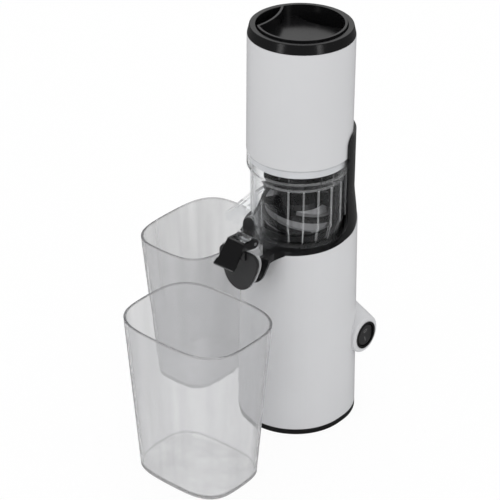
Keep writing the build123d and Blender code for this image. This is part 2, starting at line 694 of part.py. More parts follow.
fan_top = MOTOR_BOTTOM - FAN_DROP
with BuildPart() as motor_rotor:
    with BuildSketch(Plane.XY.offset(fan_top - FAN_HEIGHT)):
        Circle(MOTOR_SHAFT)
    extrude(amount=wheel_top + PINION_EXTRA - fan_top + FAN_HEIGHT)
    with BuildSketch(Plane.XY.offset(MOTOR_BOTTOM + STATOR_MARGIN)):
        Circle(ARMATURE_RADIUS)
    extrude(amount=stator_top - STATOR_MARGIN - MOTOR_BOTTOM - CAN_WALL)
    with BuildSketch(Plane.XY.offset(wheel_bottom)):
        add(gear_outline(MOTOR_TEETH, 90))
    extrude(amount=WHEEL_WIDTH + PINION_EXTRA)
motor_rotor.part.label = "motor_rotor"
export_step(motor_rotor.part, "parts/motor_rotor.step")

with BuildPart() as cooling_fan:
    with BuildSketch(Plane.XY.offset(fan_top - FAN_HEIGHT)):
        Circle(FAN_HUB)
        with PolarLocations((FAN_HUB + FAN_RADIUS) / 2, FAN_BLADES):
            Rectangle(FAN_RADIUS - FAN_HUB + FAN_BLADE, FAN_BLADE)
    extrude(amount=FAN_HEIGHT)
    with BuildSketch(Plane.XY.offset(fan_top - FAN_BLADE)):
        Circle(FAN_RADIUS)
    extrude(amount=FAN_BLADE)
    with BuildSketch(Plane.XY.offset(fan_top - FAN_HEIGHT)):
        Circle(MOTOR_SHAFT)
    extrude(amount=FAN_HEIGHT, mode=Mode.SUBTRACT)
cooling_fan.part.label = "cooling_fan"
export_step(cooling_fan.part, "parts/cooling_fan.step")

with BuildPart() as motor_screws:
    with BuildSketch(Plane.XY.offset(gear_bottom + GEAR_FLOOR)):
        with Locations(*around(0, MOTOR_SCREW_CIRCLE, (0, 180))):
            Circle(HEAD_RADIUS)
    extrude(amount=HEAD_HEIGHT)
    with BuildSketch(Plane.XY.offset(stator_top)):
        with Locations(*around(0, MOTOR_SCREW_CIRCLE, (0, 180))):
            Circle(SCREW_RADIUS)
    extrude(amount=CAP_THICKNESS + GEAR_SPACE + GEAR_FLOOR)
motor_screws.part.label = "motor_screws"
export_step(motor_screws.part, "parts/motor_screws.step")


# ------------------------------------------------------------------ gearbox
def gearbox_plan(radius):
    """Outline around the output wheel and the layshaft wheel."""
    return oval(radius, LAY_DISTANCE)


case_inner = wheel_outer + GEAR_CLEAR
with BuildPart() as gearbox_housing:
    with BuildSketch(Plane.XY.offset(gear_bottom)):
        add(gearbox_plan(case_inner + GEAR_WALL))
        with Locations(*EAR_POINTS):
            Circle(EAR_RADIUS)
    extrude(amount=gear_top - gear_bottom)
    with BuildSketch(Plane.XY.offset(gear_bottom + GEAR_FLOOR)):
        add(gearbox_plan(case_inner))
    extrude(amount=gear_top, mode=Mode.SUBTRACT)
    with BuildSketch(Plane.XY.offset(gear_bottom)):
        Circle(MOTOR_SHAFT + 2 * SLIDE_FIT)
        with Locations(*EAR_POINTS):
            Circle(SCREW_RADIUS)
        with Locations(*around(0, MOTOR_SCREW_CIRCLE, (0, 180))):
            Circle(SCREW_RADIUS)
    extrude(amount=gear_top, mode=Mode.SUBTRACT)
    with BuildSketch(Plane.XY.offset(gear_bottom)):
        with Locations(*EAR_POINTS):
            Circle(HEAD_RADIUS)
    extrude(amount=HEAD_HEIGHT, mode=Mode.SUBTRACT)
    with BuildSketch(Plane.XY.offset(gear_bottom + GEAR_FLOOR - LAY_BEARING_DEPTH)):
        with Locations((0, LAY_DISTANCE)):
            Circle(LAY_SHAFT + RUNNING)
    extrude(amount=gear_top, mode=Mode.SUBTRACT)
gearbox_housing.part.label = "gearbox_housing"
export_step(gearbox_housing.part, "parts/gearbox_housing.step")

with BuildPart() as gearbox_lid:
    with BuildSketch(Plane.XY.offset(gear_top)):
        add(gearbox_plan(case_inner + GEAR_WALL))
        with Locations(*EAR_POINTS):
            Circle(EAR_RADIUS)
    extrude(amount=GEAR_LID)
    with BuildSketch(Plane.XY.offset(gear_top)):
        Circle(tower_outer)
    extrude(amount=tower_top - gear_top)
    with BuildSketch(Plane.XY.offset(gear_top)):
        Circle(bush_outer)
        with Locations(*EAR_POINTS):
            Circle(SCREW_RADIUS)
    extrude(amount=tower_top - gear_top, mode=Mode.SUBTRACT)
    with BuildSketch(Plane.XY.offset(gear_top)):
        with Locations((0, LAY_DISTANCE)):
            Circle(LAY_SHAFT + RUNNING)
    extrude(amount=LAY_BEARING_DEPTH, mode=Mode.SUBTRACT)
gearbox_lid.part.label = "gearbox_lid"
export_step(gearbox_lid.part, "parts/gearbox_lid.step")

with BuildPart() as gearbox_screws:
    with BuildSketch(Plane.XY.offset(gear_bottom)):
        with Locations(*EAR_POINTS):
            Circle(HEAD_RADIUS)
    extrude(amount=HEAD_HEIGHT)
    with BuildSketch(Plane.XY.offset(gear_bottom)):
        with Locations(*EAR_POINTS):
            Circle(SCREW_RADIUS)
    extrude(amount=lid_top + EAR_BITE - gear_bottom)
gearbox_screws.part.label = "gearbox_screws"
export_step(gearbox_screws.part, "parts/gearbox_screws.step")

with BuildPart() as layshaft_gear:
    with BuildSketch(Plane.XY.offset(gear_bottom + GEAR_FLOOR - LAY_BEARING_DEPTH + GAP)):
        with Locations((0, LAY_DISTANCE)):
            Circle(LAY_SHAFT)
    extrude(amount=gear_top - gear_bottom - GEAR_FLOOR + 2 * (LAY_BEARING_DEPTH - GAP))
    with BuildSketch(Plane.XY.offset(wheel_bottom)):
        with Locations((0, LAY_DISTANCE)):
            add(gear_outline(LAY_WHEEL_TEETH, 270 + 180 / LAY_WHEEL_TEETH))
    extrude(amount=WHEEL_WIDTH)
    with BuildSketch(Plane.XY.offset(wheel_top)):
        with Locations((0, LAY_DISTANCE)):
            add(gear_outline(LAY_PINION_TEETH, 270))
    extrude(amount=output_top - wheel_top + PINION_EXTRA / 2)
layshaft_gear.part.label = "layshaft_gear"
export_step(layshaft_gear.part, "parts/layshaft_gear.step")

round_top = DECK_TOP + GAP
with BuildPart() as drive_shaft:
    with BuildSketch(Plane.XY.offset(output_bottom)):
        add(gear_outline(OUTPUT_TEETH, 90 + 180 / OUTPUT_TEETH))
    extrude(amount=WHEEL_WIDTH)
    with BuildSketch(Plane.XY.offset(output_top)):
        Circle(OUTPUT_HUB)
    extrude(amount=gear_top - output_top - GAP)
    with BuildSketch(Plane.XY.offset(output_top)):
        Circle(OUTPUT_SHAFT)
    extrude(amount=round_top - output_top)
    with BuildSketch(Plane.XY.offset(round_top)):
        RegularPolygon(HEX_FLATS / 2, 6, major_radius=False)
    extrude(amount=HEX_TOP - round_top)
drive_shaft.part.label = "drive_shaft"
export_step(drive_shaft.part, "parts/drive_shaft.step")

with BuildPart() as output_bearing:
    with BuildSketch(Plane.XY.offset(gear_top)):
        Circle(bush_outer)
        Circle(OUTPUT_SHAFT + RUNNING, mode=Mode.SUBTRACT)
    extrude(amount=tower_top - gear_top)
output_bearing.part.label = "output_bearing"
export_step(output_bearing.part, "parts/output_bearing.step")

with BuildPart() as shaft_seal:
    with BuildSketch(Plane.XY.offset(deck_under)):
        Circle(bush_outer)
        Circle(OUTPUT_SHAFT + RUNNING, mode=Mode.SUBTRACT)
    extrude(amount=DECK_PLATE)
shaft_seal.part.label = "shaft_seal"
export_step(shaft_seal.part, "parts/shaft_seal.step")

# ------------------------------------------------------------------ electrics
with BuildPart() as control_board:
    with BuildSketch(Plane.XY.offset(BAND_HEIGHT)):
        with Locations((0, BOARD_Y)):
            Rectangle(BOARD_WIDTH, BOARD_THICKNESS)
    extrude(amount=BOARD_HEIGHT)
control_board.part.label = "control_board"
export_step(control_board.part, "parts/control_board.step")

with BuildPart() as board_relay:
    with BuildSketch(Plane.XY.offset(RAIL_HEIGHT)):
        with Locations((0, BOARD_Y - BOARD_THICKNESS / 2)):
            Rectangle(RELAY_SIZE[0], RELAY_SIZE[1], align=(Align.CENTER, Align.MAX))
    extrude(amount=RELAY_SIZE[2])
board_relay.part.label = "board_relay"
export_step(board_relay.part, "parts/board_relay.step")

with BuildPart() as cord_inlet:
    with BuildSketch(Plane.XZ.offset(-BASE_RADIUS)):
        with Locations((0, INLET_Z)):
            Circle(INLET_FLANGE)
    extrude(amount=-STAND_REAR - INLET_LIP)
    add(stand_solid(0, DECK_TOP), mode=Mode.SUBTRACT)
    with BuildSketch(Plane.XZ.offset(-BASE_RADIUS)):
        with Locations((0, INLET_Z)):
            Circle(INLET_RADIUS)
    extrude(amount=-STAND_REAR)
    with BuildSketch(Plane.XZ):
        with Locations((0, INLET_Z)):
            Circle(INLET_BORE)
    extrude(amount=-REACH, mode=Mode.SUBTRACT)
cord_inlet.part.label = "cord_inlet"
export_step(cord_inlet.part, "parts/cord_inlet.step")

# ------------------------------------------------------------------ bowl
bowl_bottom = DECK_TOP + GAP
floor_top = bowl_bottom + BOWL_FLOOR
tube_outer = TUBE_BORE + TUBE_WALL
with BuildPart() as bowl_envelope:
    with BuildSketch(Plane.XZ):
        with BuildLine():
            Polyline((0, bowl_bottom), (BOWL_FOOT_RADIUS, bowl_bottom),
                     (BOWL_FOOT_RADIUS, bowl_bottom + BOWL_FOOT),
                     (BOWL_BASE_RADIUS, bowl_bottom + BOWL_FOOT), (BOWL_RADIUS, BOWL_KNEE),
                     (BOWL_RADIUS, BOWL_SHOULDER), (COLLAR_RADIUS, COLLAR_BASE), (COLLAR_RADIUS, COLLAR_TOP),
                     (0, COLLAR_TOP), close=True)
        make_face()
    revolve(axis=Axis.Z)

port_half = DUCT_HALF_WIDTH - DUCT_WALL
chute_bore = CHUTE_HALF_WIDTH - CHUTE_WALL
chute_port_top = CHUTE_OUTER[1][1] - CHUTE_WALL
with BuildPart() as bowl:
    add(bowl_envelope.part)
    rib_angles = [360 * (i + 0.5) / RIB_COUNT for i in range(RIB_COUNT)]
    rib_angles = [a for a in rib_angles if abs(a - 270) > RIB_CLEAR and abs(a - 180) > RIB_CLEAR]
    for angle in rib_angles:
        with BuildSketch(Plane.XY.offset(BOWL_KNEE)):
            with Locations(*around(0, BOWL_RADIUS, (angle,))):
                Rectangle(2 * RIB_DEPTH, RIB_WIDTH, rotation=angle)
        extrude(amount=BOWL_SHOULDER - BOWL_KNEE)
    with BuildSketch(Plane.XZ):
        with BuildLine():
            Polyline((0, floor_top), (BOWL_BASE_RADIUS - BOWL_WALL, floor_top),
                     (BOWL_RADIUS - BOWL_WALL, BOWL_KNEE),
                     (BOWL_RADIUS - BOWL_WALL, BOWL_SHOULDER + COLLAR_WALL / 2),
                     (COLLAR_RADIUS - COLLAR_WALL, COLLAR_BASE + COLLAR_WALL / 2),
                     (COLLAR_RADIUS - COLLAR_WALL, COLLAR_TOP), (0, COLLAR_TOP), close=True)
        make_face()
    revolve(axis=Axis.Z, mode=Mode.SUBTRACT)
    with BuildSketch(Plane.XY.offset(bowl_bottom)):
        Circle(tube_outer)
    extrude(amount=TUBE_TOP - bowl_bottom)
    with BuildSketch(Plane.XY.offset(bowl_bottom)):
        Circle(TUBE_BORE)
    extrude(amount=TUBE_TOP - bowl_bottom, mode=Mode.SUBTRACT)
    with BuildSketch(Plane.XZ.offset(STRAINER_OUTER)):
        with Locations((0, floor_top)):
            Rectangle(2 * port_half, PORT_TOP - floor_top, align=(Align.CENTER, Align.MIN))
    extrude(amount=BOWL_RADIUS, mode=Mode.SUBTRACT)
    with BuildSketch(Plane.YZ.offset(-STRAINER_OUTER)):
        with Locations((0, floor_top)):
            Rectangle(2 * chute_bore, chute_port_top - floor_top, align=(Align.CENTER, Align.MIN))
    extrude(amount=-BOWL_RADIUS, mode=Mode.SUBTRACT)
bowl.part.label = "bowl"
export_step(bowl.part, "parts/bowl.step")

with BuildPart() as bowl_seal:
    with BuildSketch(Plane.XY.offset(TUBE_TOP)):
        Circle(tube_outer + SEAL_LIP)
        Circle(TUBE_BORE, mode=Mode.SUBTRACT)
    extrude(amount=SEAL_HEIGHT)
    with BuildSketch(Plane.XY.offset(TUBE_TOP)):
        Circle(tube_outer + SEAL_LIP)
        Circle(tube_outer, mode=Mode.SUBTRACT)
    extrude(amount=-2 * SEAL_HEIGHT)
bowl_seal.part.label = "bowl_seal"
export_step(bowl_seal.part, "parts/bowl_seal.step")


def duct_profile(wall):
    """Side view of the spout's duct, or of the passage inside it; local axes are Y and Z."""
    front = DUCT_FRONT + wall
    low = bowl_bottom + wall
    back = -STRAINER_OUTER if wall else -BOWL_BASE_RADIUS
    front_top = DUCT_FRONT_TOP - wall
    back_top = DUCT_BACK_TOP - wall
    middle_y = front + (-BOWL_RADIUS - front) * DUCT_SAG[0]
    middle_z = front_top + (back_top - front_top) * DUCT_SAG[1]
    with BuildSketch(mode=Mode.PRIVATE) as profile:
        with BuildLine():
            floor = Line((back, low), (front, low))
            Line(floor @ 1, (front, front_top))
            ThreePointArc((front, front_top), (middle_y, middle_z), (-BOWL_RADIUS, back_top))
            Polyline((-BOWL_RADIUS, back_top), (back, back_top), floor @ 0)
        make_face()
    return profile.sketch


# ------------------------------------------------------------------ juice spout
with BuildPart() as juice_spout:
    with BuildSketch(Plane.YZ):
        add(duct_profile(0))
    extrude(amount=DUCT_HALF_WIDTH, both=True)
    with BuildSketch(Plane.YZ):
        with BuildLine():
            slope = Line((DUCT_FRONT, DUCT_FRONT_TOP), (PIVOT_Y, PIVOT_Z + HINGE_NOSE))
            nose = CenterArc((PIVOT_Y, PIVOT_Z), HINGE_NOSE, 90, 180)
            Polyline(nose @ 1, (DUCT_FRONT, PIVOT_Z - HINGE_NOSE), slope @ 0)
        make_face()
    extrude(amount=HINGE_HALF_WIDTH, both=True)
    with BuildSketch(Plane.XZ.offset(-SPOUT_FRONT)):
        with Locations((0, SPOUT_Z)):
            add(shield(FLANGE_BORDER))
    extrude(amount=-FLANGE_THICKNESS)
    with BuildSketch(Plane.XZ.offset(-SPOUT_FRONT)):
        with Locations((0, SPOUT_Z)):
            Circle(SPOUT_RADIUS)
    extrude(amount=SPOUT_FRONT - SPOUT_BACK)
    with BuildSketch(Plane.YZ):
        add(duct_profile(DUCT_WALL))
    extrude(amount=port_half, both=True, mode=Mode.SUBTRACT)
    with BuildSketch(Plane.XZ.offset(-SPOUT_FRONT)):
        with Locations((0, SPOUT_Z)):
            Circle(SPOUT_BORE)
    extrude(amount=SPOUT_FRONT - SPOUT_BACK + DUCT_WALL, mode=Mode.SUBTRACT)
    with BuildSketch(Plane.YZ):
        with Locations((PIVOT_Y, PIVOT_Z)):
            Circle(PIN_RADIUS)
        with Locations((LEAF_Y, LEAF_ROOT)):
            Rectangle(LEAF_THICKNESS, LEAF_TOP - LEAF_ROOT, align=(Align.CENTER, Align.MIN))
    extrude(amount=LEAF_HALF_WIDTH, both=True, mode=Mode.SUBTRACT)
    with BuildSketch(Plane.YZ):
        with Locations((PIVOT_Y, PIVOT_Z)):
            Circle(PIN_RADIUS)
    extrude(amount=REACH, both=True, mode=Mode.SUBTRACT)
    add(bowl_envelope.part, mode=Mode.SUBTRACT)
juice_spout.part.label = "juice_spout"
export_step(juice_spout.part, "parts/juice_spout.step")

with BuildPart() as lever_stop:
    with BuildSketch(Plane.XZ.offset(-LEAF_Y)):
        with Locations((0, LEAF_ROOT)):
            Rectangle(2 * LEAF_HALF_WIDTH, LEAF_TOP - LEAF_ROOT - LEAF_HALF_WIDTH,
                      align=(Align.CENTER, Align.MIN))
        with Locations((0, LEAF_TOP - LEAF_HALF_WIDTH)):
            Circle(LEAF_HALF_WIDTH)
    extrude(amount=LEAF_THICKNESS / 2, both=True)
lever_stop.part.label = "lever_stop"
export_step(lever_stop.part, "parts/lever_stop.step")

# ------------------------------------------------------------------ valve
arm_inner = HINGE_HALF_WIDTH + GAP
arm_outer = arm_inner + ARM_THICKNESS
pad_back = SPOUT_FRONT - GAP
pad_front = pad_back - PAD_THICKNESS
with BuildPart() as lever_pin:
    with BuildSketch(Plane.YZ):
        with Locations((PIVOT_Y, PIVOT_Z)):
            Circle(PIN_RADIUS)
    extrude(amount=arm_outer + GAP, both=True)
lever_pin.part.label = "lever_pin"
export_step(lever_pin.part, "parts/lever_pin.step")

with BuildPart() as valve_seal:
    with BuildSketch(Plane.XZ.offset(-pad_front)):
        with Locations((0, SPOUT_Z)):
            add(shield())
    extrude(amount=-PAD_THICKNESS)
valve_seal.part.label = "valve_seal"
export_step(valve_seal.part, "parts/valve_seal.step")

with BuildPart() as valve_lever:
    with BuildSketch(Plane.YZ):
        with Locations((PIVOT_Y, PIVOT_Z)):
            Circle(ARM_BOSS)
        with BuildLine():
            Polyline((PIVOT_Y, PIVOT_Z + ARM_BOSS), (pad_front, HANDLE_TOP),
                     (pad_front - YOKE_THICKNESS, HANDLE_TOP),
                     (pad_front - YOKE_THICKNESS, PIVOT_Z - PIN_RADIUS),
                     (PIVOT_Y, PIVOT_Z - ARM_BOSS), close=True)
        make_face()
    extrude(amount=arm_outer, both=True)
    with BuildSketch(Plane.YZ):
        with Locations((pad_front, YOKE_BOTTOM)):
            Rectangle(REACH, REACH, align=(Align.MIN, Align.MIN))
    extrude(amount=arm_inner, both=True, mode=Mode.SUBTRACT)
    with BuildSketch(Plane.XZ.offset(-pad_front)):
        with Locations((0, YOKE_BOTTOM)):
            Rectangle(2 * arm_outer, HANDLE_TOP - YOKE_BOTTOM, align=(Align.CENTER, Align.MIN))
    extrude(amount=YOKE_THICKNESS)
    with BuildSketch(Plane.YZ):
        with BuildLine():
            blade = Line((pad_front - YOKE_THICKNESS / 2, HANDLE_TOP - HANDLE_THICKNESS / 2), HANDLE_FOLD)
        trace(blade, line_width=HANDLE_THICKNESS)
    extrude(amount=arm_outer, both=True)
    with BuildSketch(Plane.YZ):
        with BuildLine():
            lip = Line(HANDLE_FOLD, HANDLE_TIP)
        trace(lip, line_width=HANDLE_THICKNESS)
    extrude(amount=arm_outer + HANDLE_TIP_FLARE, both=True)
    with BuildSketch(Plane.YZ):
        with Locations((PIVOT_Y, PIVOT_Z)):
            Circle(PIN_RADIUS + RUNNING)
    extrude(amount=REACH, both=True, mode=Mode.SUBTRACT)
valve_lever.part.label = "valve_lever"
export_step(valve_lever.part, "parts/valve_lever.step")


# ------------------------------------------------------------------ pulp chute
def chute_profile(wall):
    """Side view of the chute, or of the passage inside it; local axes are X and Z."""
    low = bowl_bottom + CHUTE_LIFT + wall
    back = -STRAINER_OUTER if wall else -BOWL_BASE_RADIUS
    across, down = CHUTE_OFFSET
    roof = [(x + across * wall, z - down * wall) for x, z in CHUTE_OUTER[:-1]]
    mouth_x, mouth_z = CHUTE_OUTER[-1]
    mouth = mouth_z - wall
    corner = CHUTE_BACK - wall
    with BuildSketch(mode=Mode.PRIVATE) as profile:
        with BuildLine():
            Polyline((back, low), (back, roof[0][1]), *roof, (mouth_x + across * wall, mouth),
                     (corner, mouth), (corner, low), close=True)
        make_face()
    return profile.sketch


with BuildPart() as pulp_chute:
    with BuildSketch(Plane.XZ):
        add(chute_profile(0))
    extrude(amount=CHUTE_HALF_WIDTH, both=True)
    with BuildSketch(Plane.XZ):
        add(chute_profile(CHUTE_WALL))
    extrude(amount=chute_bore, both=True, mode=Mode.SUBTRACT)
    add(bowl_envelope.part, mode=Mode.SUBTRACT)
pulp_chute.part.label = "pulp_chute"
export_step(pulp_chute.part, "parts/pulp_chute.step")

# ------------------------------------------------------------------ strainer
strainer_inner = STRAINER_OUTER - STRAINER_WALL
with BuildPart() as strainer:
    with BuildSketch(Plane.XY.offset(floor_top)):
        Circle(STRAINER_OUTER)
        Circle(tube_outer + SLIDE_FIT, mode=Mode.SUBTRACT)
    extrude(amount=STRAINER_FLOOR)
    with BuildSketch(Plane.XY.offset(floor_top)):
        Circle(STRAINER_OUTER)
        Circle(strainer_inner, mode=Mode.SUBTRACT)
    extrude(amount=STRAINER_RISE)
    slot_inner = tube_outer + 2 * SEAL_LIP + TUBE_WALL
    slot_outer = strainer_inner - TUBE_WALL
    with BuildSketch(Plane.XY.offset(floor_top)):
        with PolarLocations((slot_inner + slot_outer) / 2, STRAINER_SLOTS):
            Rectangle(slot_outer - slot_inner, STRAINER_SLOT)
    extrude(amount=STRAINER_FLOOR, mode=Mode.SUBTRACT)
    with BuildSketch(Plane.XY.offset(floor_top + STRAINER_FLOOR + GAP)):
        with Locations((-STRAINER_OUTER, 0)):
            Rectangle(BOWL_WALL * 4, 2 * chute_bore)
    extrude(amount=STRAINER_RISE, mode=Mode.SUBTRACT)
strainer.part.label = "strainer"
export_step(strainer.part, "parts/strainer.step")

# ------------------------------------------------------------------ auger
auger_bottom = floor_top + STRAINER_FLOOR + SLIDE_FIT
tail_outer = TUBE_BORE - GAP
groove_outer = tube_outer + SEAL_LIP + SLIDE_FIT
groove_top = TUBE_TOP + SEAL_HEIGHT + SLIDE_FIT
base_top = auger_bottom + AUGER_BASE
flight_height = AUGER_TOP - base_top
flight_radius = (AUGER_CORE_HIGH + AUGER_RADIUS) / 2
with BuildPart() as auger_flight:
    with BuildLine(Plane.XY.offset(base_top)):
        Helix(FLIGHT_LEAD, flight_height - FLIGHT_THICKNESS / 2, flight_radius, lefthand=True)
    with BuildSketch(Plane.XZ):
        with Locations((flight_radius - TUBE_WALL, base_top)):
            Rectangle(AUGER_RADIUS - AUGER_CORE_HIGH + 2 * TUBE_WALL, FLIGHT_THICKNESS)
    sweep(is_frenet=True)

with BuildPart() as auger:
    with BuildSketch(Plane.XZ):
        with BuildLine():
            Polyline((0, auger_bottom), (AUGER_RADIUS, auger_bottom), (AUGER_RADIUS, base_top),
                     (AUGER_CORE_LOW, base_top + AUGER_BASE / 2), (AUGER_CORE_HIGH, AUGER_TOP - AUGER_BASE),
                     (AUGER_CROWN, AUGER_TOP), (SPINDLE_RADIUS, AUGER_TOP), (SPINDLE_RADIUS, SPINDLE_TOP),
                     (0, SPINDLE_TOP), close=True)
        make_face()
    revolve(axis=Axis.Z)
    fillet(auger.edges().group_by(Axis.Z)[-1], SPINDLE_ROUND)
    for flight in range(FLIGHT_COUNT):
        add(auger_flight.part.rotate(Axis.Z, FLIGHT_START + 360 * flight / FLIGHT_COUNT))
    with BuildSketch(Plane.XY.offset(auger_bottom)):
        Circle(2 * AUGER_RADIUS)
        Circle(AUGER_RADIUS, mode=Mode.SUBTRACT)
    extrude(amount=REACH, mode=Mode.SUBTRACT)
    with BuildSketch(Plane.XY.offset(auger_bottom)):
        Circle(groove_outer)
    extrude(amount=groove_top - auger_bottom, mode=Mode.SUBTRACT)
    with BuildSketch(Plane.XY.offset(DECK_TOP + 2 * SLIDE_FIT)):
        Circle(tail_outer)
    extrude(amount=groove_top - DECK_TOP)
    with BuildSketch(Plane.XY.offset(DECK_TOP)):
        RegularPolygon(HEX_FLATS / 2 + GAP, 6, major_radius=False)
    extrude(amount=HEX_TOP + GAP - DECK_TOP, mode=Mode.SUBTRACT)
auger.part.label = "auger"
export_step(auger.part, "parts/auger.step")

# ------------------------------------------------------------------ filling tube
hopper_bottom = COLLAR_TOP + GAP
skirt_outer = COLLAR_RADIUS - COLLAR_WALL - SLIDE_FIT
skirt_inner = skirt_outer - HOPPER_WALL
hopper_inner = HOPPER_RADIUS - HOPPER_WALL
with BuildPart() as hopper:
    with BuildSketch(Plane.XZ):
        with BuildLine():
            Polyline((skirt_inner, hopper_bottom - HOPPER_SKIRT),
                     (skirt_outer, hopper_bottom - HOPPER_SKIRT), (skirt_outer, hopper_bottom),
                     (HOPPER_RADIUS, hopper_bottom), (HOPPER_RADIUS, HOPPER_TOP),
                     (hopper_inner, HOPPER_TOP), (hopper_inner, hopper_bottom + 2 * HOPPER_WALL),
                     (skirt_inner, hopper_bottom + HOPPER_WALL), close=True)
        make_face()
    revolve(axis=Axis.Z)
hopper.part.label = "hopper"
export_step(hopper.part, "parts/hopper.step")

ring_outer = RING_BORE + RING_WALL
ledge_top = HOPPER_TOP - RING_DEPTH + LEDGE_THICKNESS
with BuildPart() as hopper_ring:
    with BuildSketch(Plane.XZ):
        with BuildLine():
            Polyline((RING_BORE, RING_TOP), (RING_CROWN, RING_TOP), (HOPPER_RADIUS, HOPPER_TOP),
                     (hopper_inner, HOPPER_TOP), (hopper_inner, HOPPER_TOP - RING_RIB),
                     (ring_outer, HOPPER_TOP - RING_RIB), (ring_outer, HOPPER_TOP - RING_DEPTH),
                     (RING_BORE - RING_LEDGE, HOPPER_TOP - RING_DEPTH), (RING_BORE - RING_LEDGE, ledge_top),
                     (RING_BORE, ledge_top), close=True)
        make_face()
    revolve(axis=Axis.Z)
hopper_ring.part.label = "hopper_ring"
export_step(hopper_ring.part, "parts/hopper_ring.step")

# ------------------------------------------------------------------ pusher
pusher_radius = RING_BORE - SLIDE_FIT
plunger_radius = RING_BORE - RING_LEDGE - SLIDE_FIT
pusher_top = RING_TOP + PUSHER_RIM
well_floor = pusher_top - PUSHER_WELL
pusher_foot_top = PUSHER_BOTTOM + FOOT_PLATE


def pusher_plan(radius, inset=0.0):
    """Round plan with one scalloped side for the fingers."""
    with BuildSketch(mode=Mode.PRIVATE) as plan:
        Circle(radius - inset)
        with Locations(*around(0, SCALLOP_DISTANCE, (SCALLOP_ANGLE,))):
            Circle(SCALLOP_RADIUS + inset, mode=Mode.SUBTRACT)
    return plan.sketch


with BuildPart() as pusher:
    with BuildSketch(Plane.XY.offset(pusher_foot_top)):
        Circle(plunger_radius)
    extrude(amount=ledge_top + GAP - pusher_foot_top)
    with BuildSketch(Plane.XY.offset(ledge_top + GAP)):
        Circle(pusher_radius)
    extrude(amount=PUSHER_FLOOR)
    with BuildSketch(Plane.XY.offset(ledge_top + GAP)):
        add(pusher_plan(pusher_radius))
    extrude(amount=pusher_top - ledge_top - GAP)
    with BuildSketch(Plane.XY.offset(well_floor)):
        add(pusher_plan(pusher_radius, PUSHER_WALL))
    extrude(amount=PUSHER_WELL, mode=Mode.SUBTRACT)
    for pocket_angle in POCKET_ANGLES:
        with BuildSketch(Plane.XY.offset(well_floor - POCKET_DEPTH)):
            with Locations(*around(0, POCKET_DISTANCE, (pocket_angle,))):
                Circle(POCKET_RADIUS)
            Circle(pusher_radius - PUSHER_WALL, mode=Mode.INTERSECT)
        extrude(amount=POCKET_DEPTH, mode=Mode.SUBTRACT)
    cellar_top = well_floor - POCKET_DEPTH - PUSHER_FLOOR
    with BuildSketch(Plane.XY.offset(pusher_foot_top)):
        Circle(plunger_radius - PUSHER_WALL)
    extrude(amount=cellar_top - pusher_foot_top, mode=Mode.SUBTRACT)
pusher.part.label = "pusher"
export_step(pusher.part, "parts/pusher.step")

with BuildPart() as pusher_foot:
    with BuildSketch(Plane.XY.offset(PUSHER_BOTTOM)):
        Circle(plunger_radius)
    extrude(amount=FOOT_PLATE)
    with BuildSketch(Plane.XY.offset(pusher_foot_top)):
        Circle(plunger_radius - PUSHER_WALL)
        Circle(plunger_radius - 2 * PUSHER_WALL, mode=Mode.SUBTRACT)
    extrude(amount=FOOT_PLATE)
pusher_foot.part.label = "pusher_foot"
export_step(pusher_foot.part, "parts/pusher_foot.step")

# ------------------------------------------------------------------ containers
with BuildPart() as juice_container:
    add(container_solid(JUICE_CENTRE, JUICE_HALF, JUICE_TAPER, JUICE_HEIGHT, 0))
    add(container_solid(JUICE_CENTRE, JUICE_HALF, JUICE_TAPER, JUICE_HEIGHT, CONTAINER_FLOOR,
                        CONTAINER_WALL),
        mode=Mode.SUBTRACT)
juice_container.part.label = "juice_container"
export_step(juice_container.part, "parts/juice_container.step")

with BuildPart() as pulp_container:
    add(container_solid(PULP_CENTRE, PULP_HALF, PULP_TAPER, PULP_HEIGHT, 0))
    add(container_solid(PULP_CENTRE, PULP_HALF, PULP_TAPER, PULP_HEIGHT, CONTAINER_FLOOR, CONTAINER_WALL),
        mode=Mode.SUBTRACT)
pulp_container.part.label = "pulp_container"
export_step(pulp_container.part, "parts/pulp_container.step")
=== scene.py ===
"""Dresses the cold press juicer: rounded mouldings, clear plastics, stage, light and camera."""
import json
import math

import bmesh
import bpy
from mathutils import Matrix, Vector


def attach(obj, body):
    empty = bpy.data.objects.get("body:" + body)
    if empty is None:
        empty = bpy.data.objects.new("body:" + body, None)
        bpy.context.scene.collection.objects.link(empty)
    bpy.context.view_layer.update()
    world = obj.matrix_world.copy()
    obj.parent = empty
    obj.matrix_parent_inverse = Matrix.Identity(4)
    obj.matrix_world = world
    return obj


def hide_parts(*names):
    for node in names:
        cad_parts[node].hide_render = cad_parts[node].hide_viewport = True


bl_info = {
    "name": "Cold Press Juicer",
    "version": (1, 0, 0),
    "blender": (4, 5, 0),
    "location": "3D View > Sidebar > Juicer",
    "description": "Builds the mouldings, clear pieces, finishes, stage and camera of a cold press juicer",
    "category": "Object",
}

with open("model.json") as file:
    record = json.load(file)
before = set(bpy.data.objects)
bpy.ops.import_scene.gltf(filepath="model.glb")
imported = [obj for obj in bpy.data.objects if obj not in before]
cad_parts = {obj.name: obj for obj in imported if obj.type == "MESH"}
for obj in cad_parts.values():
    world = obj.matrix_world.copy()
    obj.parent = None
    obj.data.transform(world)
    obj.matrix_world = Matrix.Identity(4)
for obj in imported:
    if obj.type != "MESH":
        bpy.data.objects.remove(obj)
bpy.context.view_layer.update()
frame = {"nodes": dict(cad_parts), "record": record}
BODY_OF = {node: body for body, nodes in frame["record"]["behaviour"]["bodies"].items() for node in nodes}
SLOT_OF = {part["node"]: part["material_slot"] for part in frame["record"]["subparts"]}
MM = 0.001

